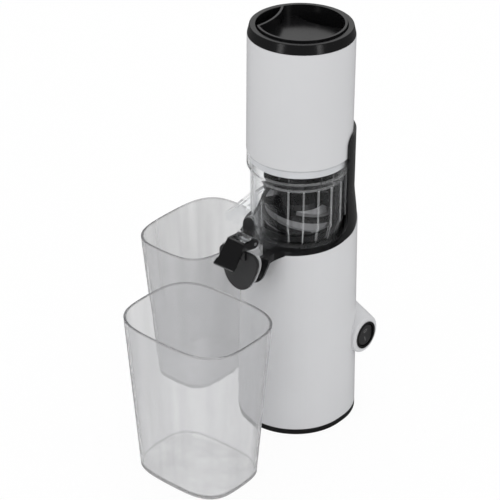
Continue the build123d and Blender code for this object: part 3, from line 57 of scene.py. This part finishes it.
# Places where a finish, painted highlight or painted shade changes: heights, radii from the upright axis,
# and Y for the spout's front.
CONTAINER_FLOOR = 2.6 * MM
JUICE_RIM = 149.0 * MM
PULP_RIM = 144.0 * MM
BOWL_RADIUS = 40.5 * MM
BOWL_FOOT = 187.0 * MM
BOWL_KNEE = 200.0 * MM
BOWL_SHOULDER = 238.0 * MM
COLLAR_BASE = 246.0 * MM
COLLAR_TOP = 259.1 * MM
RIB_COUNT = 20
SPOUT_FRONT = -58.0 * MM
BARREL_TOP = 193.0 * MM
AUGER_CORE = 29.0 * MM
AUGER_SHOULDER = 210.0 * MM
SWITCH_CENTRE = (50.3 * MM, 36.0 * MM, 75.8 * MM)

# Mesh work: the bezel is drawn in to its radius, vertices within reach are joined, flatter seams are
# removed and sharper edges are rounded.
BEZEL_RADIUS = 12.7 * MM
WELD_REACH = 2e-6
FLAT_SEAM = math.radians(0.4)
SHARP_EDGE = math.radians(32.0)

# Rounding of single pieces, as shares of the edge rounding.
SWITCH_ROUNDING = 0.6
BOWL_ROUNDING = 0.5
LEVER_ROUNDING = 1.6
RING_ROUNDING = 1.4

# Optics: refractive indices, how sharply tint, painted edge highlights and gloss gather toward a slant
# on clear pieces, their mirror share face on, and the glow of floor and sky.
PLASTIC_INDEX = 1.5
THIN_CLEAR_INDEX = 1.04
CONTAINER_INDEX = 1.2
TINT_POWER = 3.0
EDGE_HIGHLIGHT_POWER = 4.0
GLOSS_POWER = 5.0
VEIL = 0.015
FULL_GLOW = 1.0
MIRRORED_GLOW = 0.14
FLOOR_GLOW_SHARE = 0.93
WHITE = (1.0, 1.0, 1.0, 1.0)

# Stage: half the floor's side, the camera's sensor in mm and reach in metres, and where the lights aim.
FLOOR_HALF = 3.0
SENSOR_WIDTH = 36.0
CAMERA_REACH = 50.0
LIGHT_AIM = Vector((0.0, 0.0, 0.2))

# Each softbox: place, width and height in metres, and share of the key light's power.
SOFTBOXES = {
    "left_softbox": ((-0.1, -1.6, 0.75), (0.22, 1.5), 0.75),
    "right_softbox": ((1.6, -0.4, 0.75), (0.22, 1.5), 0.75),
    "top_softbox": ((-0.1, 0.1, 1.9), (1.4, 1.4), 1.0),
    "back_softbox": ((-1.05, 1.3, 1.3), (1.7, 1.1), 0.95),
}

# Nodes that are painted on their own mesh; every other node gets a rounded moulding.
WORKS = (
    "rubber_feet", "base_screws", "shaft_seal", "control_board", "board_relay", "rocker_pin",
    "motor_can", "motor_stator", "motor_endcap", "motor_screws", "motor_rotor", "cooling_fan",
    "gearbox_housing", "gearbox_lid", "gearbox_screws", "output_bearing", "layshaft_gear", "drive_shaft",
    "bowl_seal", "lever_pin",
)


# ---------------------------------------------------------------- shader expressions
class Value:
    """A socket used in Python expressions: each operator adds one Math node."""

    def __init__(self, paint, socket):
        self.paint = paint
        self.socket = socket

    def __add__(self, other):
        return self.paint.maths("ADD", self, other)

    def __radd__(self, other):
        return self.paint.maths("ADD", other, self)

    def __sub__(self, other):
        return self.paint.maths("SUBTRACT", self, other)

    def __rsub__(self, other):
        return self.paint.maths("SUBTRACT", other, self)

    def __mul__(self, other):
        return self.paint.maths("MULTIPLY", self, other)

    def __rmul__(self, other):
        return self.paint.maths("MULTIPLY", other, self)

    def __pow__(self, other):
        return self.paint.maths("POWER", self, other)

    def __gt__(self, other):
        return self.paint.maths("GREATER_THAN", self, other)

    def __lt__(self, other):
        return self.paint.maths("LESS_THAN", self, other)

    def __abs__(self):
        return self.paint.maths("ABSOLUTE", self)


class Paint:
    """Shader nodes of one material or world under construction."""

    def __init__(self, name, owners=None):
        self.owner = (bpy.data.materials if owners is None else owners).new(name)
        self.owner.use_nodes = True
        self.tree = self.owner.node_tree
        self.tree.nodes.clear()

    def node(self, kind, settings=None, sockets=None, output=0):
        """Adds a node: settings are set first, then its sockets get values or links."""
        new = self.tree.nodes.new(kind)
        for key, value in (settings or {}).items():
            setattr(new, key, value)
        for key, value in (sockets or {}).items():
            if isinstance(value, Value):
                self.tree.links.new(value.socket, new.inputs[key])
            else:
                new.inputs[key].default_value = value
        return Value(self, new.outputs[output]) if len(new.outputs) else None

    def maths(self, operation, first, second=0.0):
        """Math node; an operation on one value leaves the second out."""
        return self.node("ShaderNodeMath", {"operation": operation}, {0: first, 1: second})

    def place(self):
        """Position on the object, in metres."""
        return self.node("ShaderNodeTexCoord", output="Object")

    def along(self, axis):
        """Position on the object along X, Y or Z."""
        return self.node("ShaderNodeSeparateXYZ", {}, {0: self.place()}, output=axis)

    def radius(self):
        """Distance from the upright axis through the origin."""
        return (self.along("X") ** 2.0 + self.along("Y") ** 2.0) ** 0.5

    def noise(self, scale, detail=3.0, stretch=(1, 1, 1)):
        """Noise value around a half, optionally stretched along an axis."""
        spot = self.node("ShaderNodeVectorMath", {"operation": "MULTIPLY"}, {0: self.place(), 1: stretch})
        return self.node("ShaderNodeTexNoise", {}, {"Vector": spot, "Scale": scale, "Detail": detail})

    def tint(self, amount, first, second):
        """Colour between two colours."""
        return self.node("ShaderNodeMix", {"data_type": "RGBA"}, {0: amount, 6: first, 7: second}, output=2)

    def drift(self, noise, colour, darkest, palest):
        """Colour that drifts with a noise between a darker and a paler shade of it."""
        return self.tint(noise, shade_of(colour, darkest), shade_of(colour, palest))

    def bump(self, height, distance):
        """Normal from a height value."""
        return self.node("ShaderNodeBump", {}, {"Height": height, "Distance": distance, "Strength": 1.0})

    def surface(self, **sockets):
        """Principled surface; underscores in the names stand for spaces."""
        named = {key.replace("_", " "): value for key, value in sockets.items()}
        return self.node("ShaderNodeBsdfPrincipled", {}, named)

    def glow(self, kind, strength):
        """White light of an Emission or Background node."""
        return self.node("ShaderNode" + kind, {}, {"Color": WHITE, "Strength": strength})

    def blend(self, amount, first, second):
        """Shader between two shaders."""
        return self.node("ShaderNodeMixShader", {}, {0: amount, 1: first, 2: second})

    def ray(self, kind):
        """One where a ray is of this kind, zero elsewhere."""
        return self.node("ShaderNodeLightPath", output="Is " + kind + " Ray")

    def finish(self, shader, kind="ShaderNodeOutputMaterial"):
        """Connects the shader to the output and returns what owns it."""
        self.node(kind, {}, {"Surface": shader})
        return self.owner


def varied(middle, spread, noise):
    """A value that a noise moves to both sides of its middle."""
    return middle + spread * (noise - 0.5)


def rgba(colour):
    """Opaque colour."""
    return (*colour[:3], 1.0)


def shade_of(colour, factor):
    """Opaque colour, darker or paler by a factor."""
    return (*[min(1.0, channel * factor) for channel in colour[:3]], 1.0)


# ---------------------------------------------------------------- finishes
def moulded(name, colour, roughness, grain=0.02 * MM, grain_scale=700.0, coat=0.0, speck=0.03, shine=0.5):
    """Moulded plastic: faint colour drift, handling haze and a fine moulded skin."""
    paint = Paint(name)
    cloud = paint.noise(scale=14.0, detail=2.0)
    haze = paint.noise(scale=60.0, detail=5.0, stretch=(1, 1, 0.4))
    skin = paint.noise(grain_scale, detail=2.0)
    shader = paint.surface(
        Base_Color=paint.drift(cloud, colour, 1.0 - speck, 1.0 + speck),
        Roughness=varied(roughness, 0.1, haze), Coat_Weight=coat, Coat_Roughness=0.08, IOR=PLASTIC_INDEX,
        Specular_IOR_Level=shine, Normal=paint.bump(skin, grain))
    return paint.finish(shader)


def screw_plastic(name, black, painted_highlight_grey):
    """Glossy black auger whose core, between the flights and under the shoulder, is painted a paler grey: a
    painted highlight for the light the core reflects.
    """
    paint = Paint(name)
    sheen_streaks = paint.noise(scale=90.0, detail=4.0, stretch=(1, 1, 0.3))
    # painted highlight: the core below the shoulder is tinted toward a paler grey
    core = (paint.radius() < AUGER_CORE) * (paint.along("Z") < AUGER_SHOULDER)
    shader = paint.surface(
        Base_Color=paint.tint(core * varied(1.0, 0.5, sheen_streaks), rgba(black), rgba(painted_highlight_grey)),
        Roughness=varied(0.25, 0.14, sheen_streaks), IOR=PLASTIC_INDEX, Specular_IOR_Level=0.2)
    return paint.finish(shader)


def clear_moulded(name, face_on, edge_on, index, edge_highlight, milk=0.0, gloss=0.0, pale=(0.8, 0.81, 0.82),
                  pale_where=None, dark_where=None):
    """Clear moulding, darker at a slant, with a milky share, a pale share toward a slant as a painted edge
    highlight, painted vertical sheen streaks, optional masks of painted highlight and shade, and a slanted
    gloss mixed in.
    """
    paint = Paint(name)
    # painted highlight: long upright streaks vary the milky share and tint like soft vertical sheen
    sheen_streaks = paint.noise(scale=60.0, detail=2.0, stretch=(1, 1, 0.02))
    haze = paint.noise(scale=90.0, detail=4.0)
    slant = paint.node("ShaderNodeLayerWeight", {}, {"Blend": 0.5}, output="Facing")
    tone = varied(slant ** TINT_POWER, 0.5, sheen_streaks)
    # painted edge highlight: a pale share that grows toward a slant
    milky = milk * varied(1.0, 1.2, sheen_streaks) + edge_highlight * slant ** EDGE_HIGHLIGHT_POWER
    # pale_where adds painted highlights, dark_where painted shade and darker lines
    if pale_where:
        milky = milky + pale_where(paint)
    if dark_where:
        dark = dark_where(paint)
        tone = tone + dark
        milky = milky * (1.0 - dark)
    clear = paint.surface(
        Base_Color=paint.tint(tone, rgba(face_on), rgba(edge_on)), Roughness=varied(0.02, 0.02, haze),
        IOR=index, Transmission_Weight=1.0)
    cloudy = paint.surface(
        Base_Color=paint.drift(haze, pale, 0.94, 1.06), Roughness=0.3, Specular_IOR_Level=0.2)
    body = paint.blend(milky, clear, cloudy)
    if gloss:
        mirror = paint.surface(
            Base_Color=paint.drift(haze, WHITE, 0.9, 1.0), Metallic=1.0, Roughness=0.04)
        body = paint.blend(VEIL + gloss * slant ** GLOSS_POWER, body, mirror)
    passing = paint.node("ShaderNodeBsdfTransparent", {}, {"Color": rgba(face_on)})
    return paint.finish(paint.blend(paint.ray("Shadow"), body, passing))


def bowl_highlight_lines(paint):
    """Painted highlights, pale lines on the bowl: along its ribs, their run-out on the flare, and its
    shoulder and collar foot.
    """
    rib_start = BOWL_RADIUS + 0.1 * MM
    run_out_half = 0.045
    spout_half = 12.0 * MM
    shoulder_half = 0.7 * MM
    collar_half = 0.6 * MM
    rib_light = 0.26
    rim_light = 0.2
    height = paint.along("Z")
    # painted highlights: pale lines on the ribs, painted rib run-outs on the flare and pale rims
    ribs = (paint.radius() > rib_start) * (height > BOWL_KNEE) * (height < BOWL_SHOULDER)
    turn = paint.maths("ARCTAN2", paint.along("Y"), paint.along("X"))
    pitch = paint.maths("FRACT", turn * (RIB_COUNT / math.tau) + float(RIB_COUNT))
    beside_spout = abs(paint.along("X")) > spout_half
    run_out = (abs(pitch - 0.5) < run_out_half) * beside_spout * (height > BOWL_FOOT) * (height < BOWL_KNEE)
    rims = (abs(height - BOWL_SHOULDER) < shoulder_half) + (abs(height - COLLAR_BASE) < collar_half)
    return rib_light * (ribs + run_out) + rim_light * rims


def collar_gap_shadow(paint):
    """Painted shadow: a dark line along the collar's top edge, for the gap between collar and filling tube.
    """
    line = 0.8 * MM
    return paint.along("Z") > COLLAR_TOP - line


def spout_front_highlight(paint):
    """Painted highlight: a faint pale share on the spout's front, stronger on its barrel."""
    front_highlight_share = 0.03
    barrel_highlight_share = 0.28
    front = paint.along("Y") < SPOUT_FRONT
    return front * (front_highlight_share + barrel_highlight_share * (paint.along("Z") < BARREL_TOP))


def container_seam_and_shade(rim):
    """Returns the mask of a container's darker places: the seam of wall and floor, and painted shade over
    the floor and along the rim.
    """
    seam_middle = CONTAINER_FLOOR + 0.5 * MM
    seam_half = 0.4 * MM
    floor_top = CONTAINER_FLOOR + 0.1 * MM
    floor_share = 0.4
    rim_start = rim - 1.1 * MM
    rim_share = 0.75

    def lines(paint):
        height = paint.along("Z")
        seam = abs(height - seam_middle) < seam_half
        # darker line on the seam, painted shade over the floor and along the rim
        return seam + floor_share * (height < floor_top) + rim_share * (height > rim_start)

    return lines


def marked_plastic(name, black, ink):
    """Satin black rocker with a printed ring over its axis and a printed bar under it."""
    off_axis = 4.0 * MM
    ring_radius = 1.7 * MM
    bar_half = 1.9 * MM
    line_half = 0.35 * MM
    paint = Paint(name)
    across = paint.along("Y") - SWITCH_CENTRE[1]
    upright = paint.along("Z") - SWITCH_CENTRE[2]
    from_ring = (across ** 2.0 + (upright - off_axis) ** 2.0) ** 0.5 - ring_radius
    bar = (abs(across) < line_half) * (abs(upright + off_axis) < bar_half)
    wear = paint.noise(scale=300.0)
    marks = ((abs(from_ring) < line_half) + bar) * varied(0.85, 0.5, wear)
    shader = paint.surface(
        Base_Color=paint.tint(marks, rgba(black), rgba(ink)), Roughness=varied(0.43, 0.1, wear),
        Normal=paint.bump(paint.noise(scale=900.0), 0.04 * MM))
    return paint.finish(shader)


def metal(name, colour, roughness, brushed=(1, 1, 30)):
    """Plain or brushed metal with fine directional lines."""
    paint = Paint(name)
    lines = paint.noise(scale=160.0, detail=4.0, stretch=brushed)
    stain = paint.noise(scale=30.0)
    shader = paint.surface(
        Base_Color=paint.drift(stain, colour, 0.92, 1.05), Metallic=1.0,
        Roughness=varied(roughness, 0.16, lines), Normal=paint.bump(lines, 0.01 * MM))
    return paint.finish(shader)


def winding(name, copper, iron):
    """Copper turns over a stacked iron core."""
    radians_per_metre = 6000.0
    paint = Paint(name)
    turns = paint.maths("SINE", paint.along("Z") * radians_per_metre)
    shader = paint.surface(
        Base_Color=paint.tint(turns * 0.5 + 0.5, rgba(iron), rgba(copper)), Metallic=0.8, Roughness=0.4,
        Normal=paint.bump(turns, 0.1 * MM))
    return paint.finish(shader)


# ---------------------------------------------------------------- settings
class JuicerFinish(bpy.types.PropertyGroup):
    """Colours and edge sizes that a user may change."""

    white: bpy.props.FloatVectorProperty(
        name="White plastic", description="Colour of the stand and filling tube", subtype="COLOR", size=3,
        default=(0.62, 0.623, 0.635), min=0, max=1)
    black: bpy.props.FloatVectorProperty(
        name="Black plastic", description="Colour of the black mouldings", subtype="COLOR", size=3,
        default=(0.007, 0.007, 0.0075), min=0, max=1)
    grey: bpy.props.FloatVectorProperty(
        name="Dark grey plastic", description="Colour of the valve pad, lever stop and pusher foot",
        subtype="COLOR", size=3, default=(0.02, 0.02, 0.021), min=0, max=1)
    clear: bpy.props.FloatVectorProperty(
        name="Clear plastic", description="Tint of the bowl, its spout and its chute", subtype="COLOR",
        size=3, default=(0.97, 0.975, 0.98), min=0, max=1)
    smoky: bpy.props.FloatVectorProperty(
        name="Container plastic", description="Tint of the two containers", subtype="COLOR", size=3,
        default=(0.95, 0.95, 0.953), min=0, max=1)
    milk: bpy.props.FloatProperty(
        name="Container haze", description="Milky share of the containers' walls", subtype="FACTOR",
        default=0.2, min=0.0, max=1.0)
    edge: bpy.props.FloatProperty(
        name="Edge rounding", description="Rounding of moulded edges", unit="LENGTH", default=0.5 * MM,
        min=0.0, max=2 * MM)


class JuicerStage(bpy.types.PropertyGroup):
    """Camera and lights."""

    camera_place: bpy.props.FloatVectorProperty(
        name="Camera place", description="Where the camera stands", subtype="TRANSLATION", unit="LENGTH",
        size=3, default=(0.98484, -1.23185, 1.07115))
    camera_turn: bpy.props.FloatVectorProperty(
        name="Camera turn", description="Camera rotation about X, Y and Z", subtype="EULER", unit="ROTATION",
        size=3, default=(1.046236, -0.005758, 0.703809))
    lens: bpy.props.FloatProperty(
        name="Lens", description="Focal length on a 36 mm sensor", unit="CAMERA", default=151.2, min=20.0,
        max=400.0)
    key: bpy.props.FloatProperty(
        name="Key light", description="Power of the main soft light", unit="POWER", default=4.0, min=0.0)
    sky: bpy.props.FloatProperty(
        name="Sky", description="Strength of the even surrounding light", default=0.855, min=0.0)


FINISHES = {}


def finishes():
    """Materials by finish name, built once."""
    if FINISHES:
        return FINISHES
    look = bpy.context.scene.juicer_finish
    dark_edge = shade_of(look.smoky, 0.4)
    recipes = {
        "white_plastic": (moulded, dict(colour=look.white, roughness=0.3, shine=0.15)),
        "black_plastic": (moulded, dict(
            colour=look.black, roughness=0.2, grain=0.01 * MM, speck=0.2, shine=0.4)),
        # auger: painted highlight on the core in a paler grey
        "auger_plastic": (screw_plastic, dict(black=look.black, painted_highlight_grey=(0.26, 0.26, 0.265))),
        "black_satin": (moulded, dict(
            colour=look.black, roughness=0.42, grain=0.05 * MM, grain_scale=900.0, speck=0.2, shine=0.4)),
        "dark_grey_plastic": (moulded, dict(
            colour=look.grey, roughness=0.48, grain=0.06 * MM, grain_scale=900.0, speck=0.1)),
        # clear pieces: edge_highlight sets the pale share painted as a highlight toward a slant
        "clear_plastic": (clear_moulded, dict(
            face_on=look.clear, edge_on=(0.8, 0.81, 0.82), index=THIN_CLEAR_INDEX, edge_highlight=0.6, gloss=0.7)),
        "bowl_plastic": (clear_moulded, dict(
            face_on=look.clear, edge_on=(0.7, 0.71, 0.72), index=THIN_CLEAR_INDEX, edge_highlight=0.6, gloss=0.7,
            pale_where=bowl_highlight_lines, dark_where=collar_gap_shadow)),
        "spout_plastic": (clear_moulded, dict(
            face_on=look.clear, edge_on=(0.6, 0.61, 0.62), index=THIN_CLEAR_INDEX, edge_highlight=0.3, gloss=0.5,
            pale_where=spout_front_highlight)),
        "juice_plastic": (clear_moulded, dict(
            face_on=look.smoky, edge_on=dark_edge, index=CONTAINER_INDEX, edge_highlight=0.1, milk=look.milk,
            pale=shade_of(look.white, 1.1), dark_where=container_seam_and_shade(JUICE_RIM))),
        "pulp_plastic": (clear_moulded, dict(
            face_on=shade_of(look.smoky, 0.965), edge_on=dark_edge, index=CONTAINER_INDEX, edge_highlight=0.1,
            milk=look.milk * 1.3, pale=look.white, dark_where=container_seam_and_shade(PULP_RIM))),
        "switch_plastic": (marked_plastic, dict(black=(0.03, 0.03, 0.031), ink=(0.2, 0.2, 0.2))),
        "rubber_black": (moulded, dict(
            colour=(0.02, 0.02, 0.02), roughness=0.7, grain=0.08 * MM, grain_scale=1200.0, speck=0.2)),
        "silicone_grey": (moulded, dict(colour=(0.3, 0.31, 0.32), roughness=0.6, grain=0.04 * MM)),
        "steel": (metal, dict(colour=(0.62, 0.63, 0.65), roughness=0.28)),
        "motor_steel": (metal, dict(colour=(0.5, 0.51, 0.53), roughness=0.35, brushed=(1, 1, 12))),
        "copper_winding": (winding, dict(copper=(0.55, 0.25, 0.1), iron=(0.12, 0.12, 0.13))),
        "bronze": (metal, dict(colour=(0.55, 0.36, 0.16), roughness=0.4)),
        "gear_plastic": (moulded, dict(colour=(0.68, 0.66, 0.6), roughness=0.4)),
        "case_grey": (moulded, dict(colour=(0.2, 0.21, 0.22), roughness=0.5, grain=0.05 * MM)),
        "board_green": (moulded, dict(colour=(0.02, 0.13, 0.05), roughness=0.35, coat=0.4, speck=0.15)),
    }
    for name, (maker, settings) in recipes.items():
        FINISHES[name] = maker(name, **settings)
    return FINISHES


# ---------------------------------------------------------------- mesh helpers
def welded_copy(node):
    """Mesh with the cleaned shape of a CAD node."""
    work = bmesh.new()
    work.from_mesh(frame["nodes"][node].data)
    bmesh.ops.remove_doubles(work, verts=work.verts, dist=WELD_REACH)
    bmesh.ops.dissolve_limit(work, angle_limit=FLAT_SEAM, verts=work.verts, edges=work.edges)
    bmesh.ops.recalc_face_normals(work, faces=work.faces)
    mesh = bpy.data.meshes.new(node)
    work.to_mesh(mesh)
    work.free()
    return mesh


def apply_modifiers(piece):
    """Bakes a piece's modifiers into its mesh."""
    graph = bpy.context.evaluated_depsgraph_get()
    mesh = bpy.data.meshes.new_from_object(piece.evaluated_get(graph))
    materials = list(piece.data.materials)
    piece.modifiers.clear()
    piece.data = mesh
    mesh.materials.clear()
    for material in materials:
        mesh.materials.append(material)


def soften(piece, width, segments):
    """Rounds the sharp edges of a piece and smooths its shading."""
    for face in piece.data.polygons:
        face.use_smooth = True
    if width > 0:
        bevel = piece.modifiers.new("Edges", "BEVEL")
        bevel.width = width
        bevel.segments = segments
        bevel.limit_method = "ANGLE"
        bevel.angle_limit = SHARP_EDGE
        bevel.harden_normals = True
        bevel.miter_outer = "MITER_ARC"
    weighted = piece.modifiers.new("Normals", "WEIGHTED_NORMAL")
    weighted.keep_sharp = True
    bpy.context.view_layer.update()
    apply_modifiers(piece)


def dress(node, material, body, width, segments):
    """Stands a rounded, smoothly shaded copy in for a CAD node."""
    mesh = welded_copy(node)
    mesh.materials.append(material)
    piece = bpy.data.objects.new(node + "_moulding", mesh)
    bpy.context.scene.collection.objects.link(piece)
    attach(piece, body)
    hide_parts(node)
    soften(piece, width, segments)


def dress_all(nodes, width, segments=2, finish=None):
    """Dresses several nodes in their own finishes, or in one that is named."""
    for node in nodes:
        dress(node, finishes()[finish or SLOT_OF[node]], BODY_OF[node], width, segments)


def paint_nodes(nodes):
    """Gives CAD nodes that keep their own mesh their finishes."""
    for node in nodes:
        owner = frame["nodes"][node]
        owner.data.materials.clear()
        owner.data.materials.append(finishes()[SLOT_OF[node]])


# ---------------------------------------------------------------- stage helpers
def lay_floor(scene):
    """White floor: nearly even white to the camera and through clear pieces, dim in glossy surfaces."""
    half = FLOOR_HALF
    corners = [(-half, -half, 0), (half, -half, 0), (half, half, 0), (-half, half, 0)]
    mesh = bpy.data.meshes.new("floor")
    mesh.from_pydata(corners, [], [(0, 1, 2, 3)])
    floor = bpy.data.objects.new("floor", mesh)
    scene.collection.objects.link(floor)
    paint = Paint("floor")
    tone = paint.drift(paint.noise(scale=4.0), WHITE, 0.92, 0.95)
    matt = paint.surface(Base_Color=tone, Roughness=0.8)
    lit = paint.blend(paint.ray("Glossy"), matt, paint.glow("Emission", MIRRORED_GLOW))
    seen = paint.ray("Camera") + paint.ray("Transmission")
    shader = paint.blend(seen * FLOOR_GLOW_SHARE, lit, paint.glow("Emission", FULL_GLOW))
    mesh.materials.append(paint.finish(shader))


def hang_sky(scene, strength):
    """Even white surrounding: full white to the camera and through clear pieces, dim in glossy surfaces."""
    paint = Paint("studio", bpy.data.worlds)
    even = paint.glow("Background", strength)
    around = paint.blend(paint.ray("Glossy"), even, paint.glow("Background", MIRRORED_GLOW))
    seen = paint.ray("Camera") + paint.ray("Transmission")
    shader = paint.blend(seen, around, paint.glow("Background", FULL_GLOW))
    scene.world = paint.finish(shader, "ShaderNodeOutputWorld")


def hang_softbox(scene, name, place, size, power):
    """Rectangular soft light, turned to the middle of the juicer."""
    data = bpy.data.lights.new(name, "AREA")
    data.shape = "RECTANGLE"
    data.size = size[0]
    data.size_y = size[1]
    data.energy = power
    lamp = bpy.data.objects.new(name, data)
    lamp.location = place
    lamp.rotation_euler = (LIGHT_AIM - Vector(place)).to_track_quat("-Z", "Y").to_euler()
    scene.collection.objects.link(lamp)


def stand_camera(scene, place, turn, lens):
    """Camera of the main view."""
    data = bpy.data.cameras.new("camera")
    data.lens = lens
    data.sensor_width = SENSOR_WIDTH
    data.clip_end = CAMERA_REACH
    camera = bpy.data.objects.new("camera", data)
    camera.location = place
    camera.rotation_euler = turn
    scene.collection.objects.link(camera)
    scene.camera = camera


# ---------------------------------------------------------------- operators
class JUICER_OT_stage(bpy.types.Operator):
    """Floor, lights and camera"""

    bl_idname = "juicer.stage"
    bl_label = "Stage"

    def execute(self, context):
        scene = context.scene
        stage = scene.juicer_stage
        stand_camera(scene, stage.camera_place, stage.camera_turn, stage.lens)
        lay_floor(scene)
        hang_sky(scene, stage.sky)
        for name, (place, size, share) in SOFTBOXES.items():
            hang_softbox(scene, name, place, size, stage.key * share)
        scene.view_settings.view_transform = "Standard"
        return {"FINISHED"}


class JUICER_OT_works(bpy.types.Operator):
    """Finishes of the motor, gear train and other small pieces"""

    bl_idname = "juicer.works"
    bl_label = "Inner works"

    def execute(self, context):
        paint_nodes(WORKS)
        return {"FINISHED"}


class JUICER_OT_stand(bpy.types.Operator):
    """White shell, base, deck, spine and cord inlet"""

    bl_idname = "juicer.stand"
    bl_label = "Stand"

    def execute(self, context):
        edge = context.scene.juicer_finish.edge
        dress_all(["body_shell", "base_cover", "deck_plate", "rear_spine", "cord_inlet"], edge)
        return {"FINISHED"}


class JUICER_OT_switch(bpy.types.Operator):
    """Round rocker switch, its bezel drawn in to a narrower rim"""

    bl_idname = "juicer.switch"
    bl_label = "Switch"

    def execute(self, context):
        edge = context.scene.juicer_finish.edge * SWITCH_ROUNDING
        dress_all(["switch_bezel"], edge)
        dress_all(["switch_rocker"], edge, finish="switch_plastic")
        middle = Vector(SWITCH_CENTRE)
        for vertex in bpy.data.objects["switch_bezel_moulding"].data.vertices:
            out = vertex.co - middle
            out.x = 0.0  # the switch's axis runs along X
            if out.length > BEZEL_RADIUS:
                vertex.co -= out * (1.0 - BEZEL_RADIUS / out.length)
        return {"FINISHED"}


class JUICER_OT_bowl(bpy.types.Operator):
    """Clear bowl with its spout and chute, strainer and lever stop"""

    bl_idname = "juicer.bowl"
    bl_label = "Bowl"

    def execute(self, context):
        edge = context.scene.juicer_finish.edge * BOWL_ROUNDING
        dress_all(["pulp_chute", "strainer", "lever_stop"], edge)
        dress_all(["bowl"], edge, finish="bowl_plastic")
        dress_all(["juice_spout"], edge, finish="spout_plastic")
        return {"FINISHED"}


class JUICER_OT_valve(bpy.types.Operator):
    """Spout valve"""

    bl_idname = "juicer.valve"
    bl_label = "Valve"

    def execute(self, context):
        edge = context.scene.juicer_finish.edge
        dress_all(["valve_lever"], edge * LEVER_ROUNDING, segments=3)
        dress_all(["valve_seal"], edge)
        return {"FINISHED"}


class JUICER_OT_auger(bpy.types.Operator):
    """Pressing auger"""

    bl_idname = "juicer.auger"
    bl_label = "Auger"

    def execute(self, context):
        dress_all(["auger"], context.scene.juicer_finish.edge, finish="auger_plastic")
        return {"FINISHED"}


class JUICER_OT_tube(bpy.types.Operator):
    """Filling tube, ring and pusher"""

    bl_idname = "juicer.tube"
    bl_label = "Filling tube"

    def execute(self, context):
        edge = context.scene.juicer_finish.edge
        dress_all(["hopper", "pusher_foot"], edge)
        dress_all(["hopper_ring", "pusher"], edge * RING_ROUNDING, segments=3)
        return {"FINISHED"}


class JUICER_OT_containers(bpy.types.Operator):
    """Clear juice and pulp containers"""

    bl_idname = "juicer.containers"
    bl_label = "Containers"

    def execute(self, context):
        edge = context.scene.juicer_finish.edge
        dress_all(["juice_container"], edge, finish="juice_plastic")
        dress_all(["pulp_container"], edge, finish="pulp_plastic")
        return {"FINISHED"}


STEPS = (JUICER_OT_stage, JUICER_OT_works, JUICER_OT_stand, JUICER_OT_switch, JUICER_OT_bowl,
         JUICER_OT_valve, JUICER_OT_auger, JUICER_OT_tube, JUICER_OT_containers)


class JUICER_PT_panel(bpy.types.Panel):
    """Lists the settings and steps of the juicer"""

    bl_idname = "JUICER_PT_panel"
    bl_label = "Cold press juicer"
    bl_space_type = "VIEW_3D"
    bl_region_type = "UI"
    bl_category = "Juicer"

    def draw(self, context):
        for group in (context.scene.juicer_finish, context.scene.juicer_stage):
            for prop in type(group).__annotations__:
                self.layout.prop(group, prop)
        for step in STEPS:
            self.layout.operator(step.bl_idname)


CLASSES = (JuicerFinish, JuicerStage, *STEPS, JUICER_PT_panel)


def register():
    """Registers the classes and hangs the settings on the scene."""
    for cls in CLASSES:
        bpy.utils.register_class(cls)
    bpy.types.Scene.juicer_finish = bpy.props.PointerProperty(type=JuicerFinish)
    bpy.types.Scene.juicer_stage = bpy.props.PointerProperty(type=JuicerStage)


def unregister():
    """Takes back what register adds."""
    del bpy.types.Scene.juicer_stage
    del bpy.types.Scene.juicer_finish
    for cls in reversed(CLASSES):
        bpy.utils.unregister_class(cls)


def main():
    """Builds everything."""
    register()
    for step in STEPS:
        group, name = step.bl_idname.split(".")
        getattr(getattr(bpy.ops, group), name)()


if __name__ == "__main__":
    main()
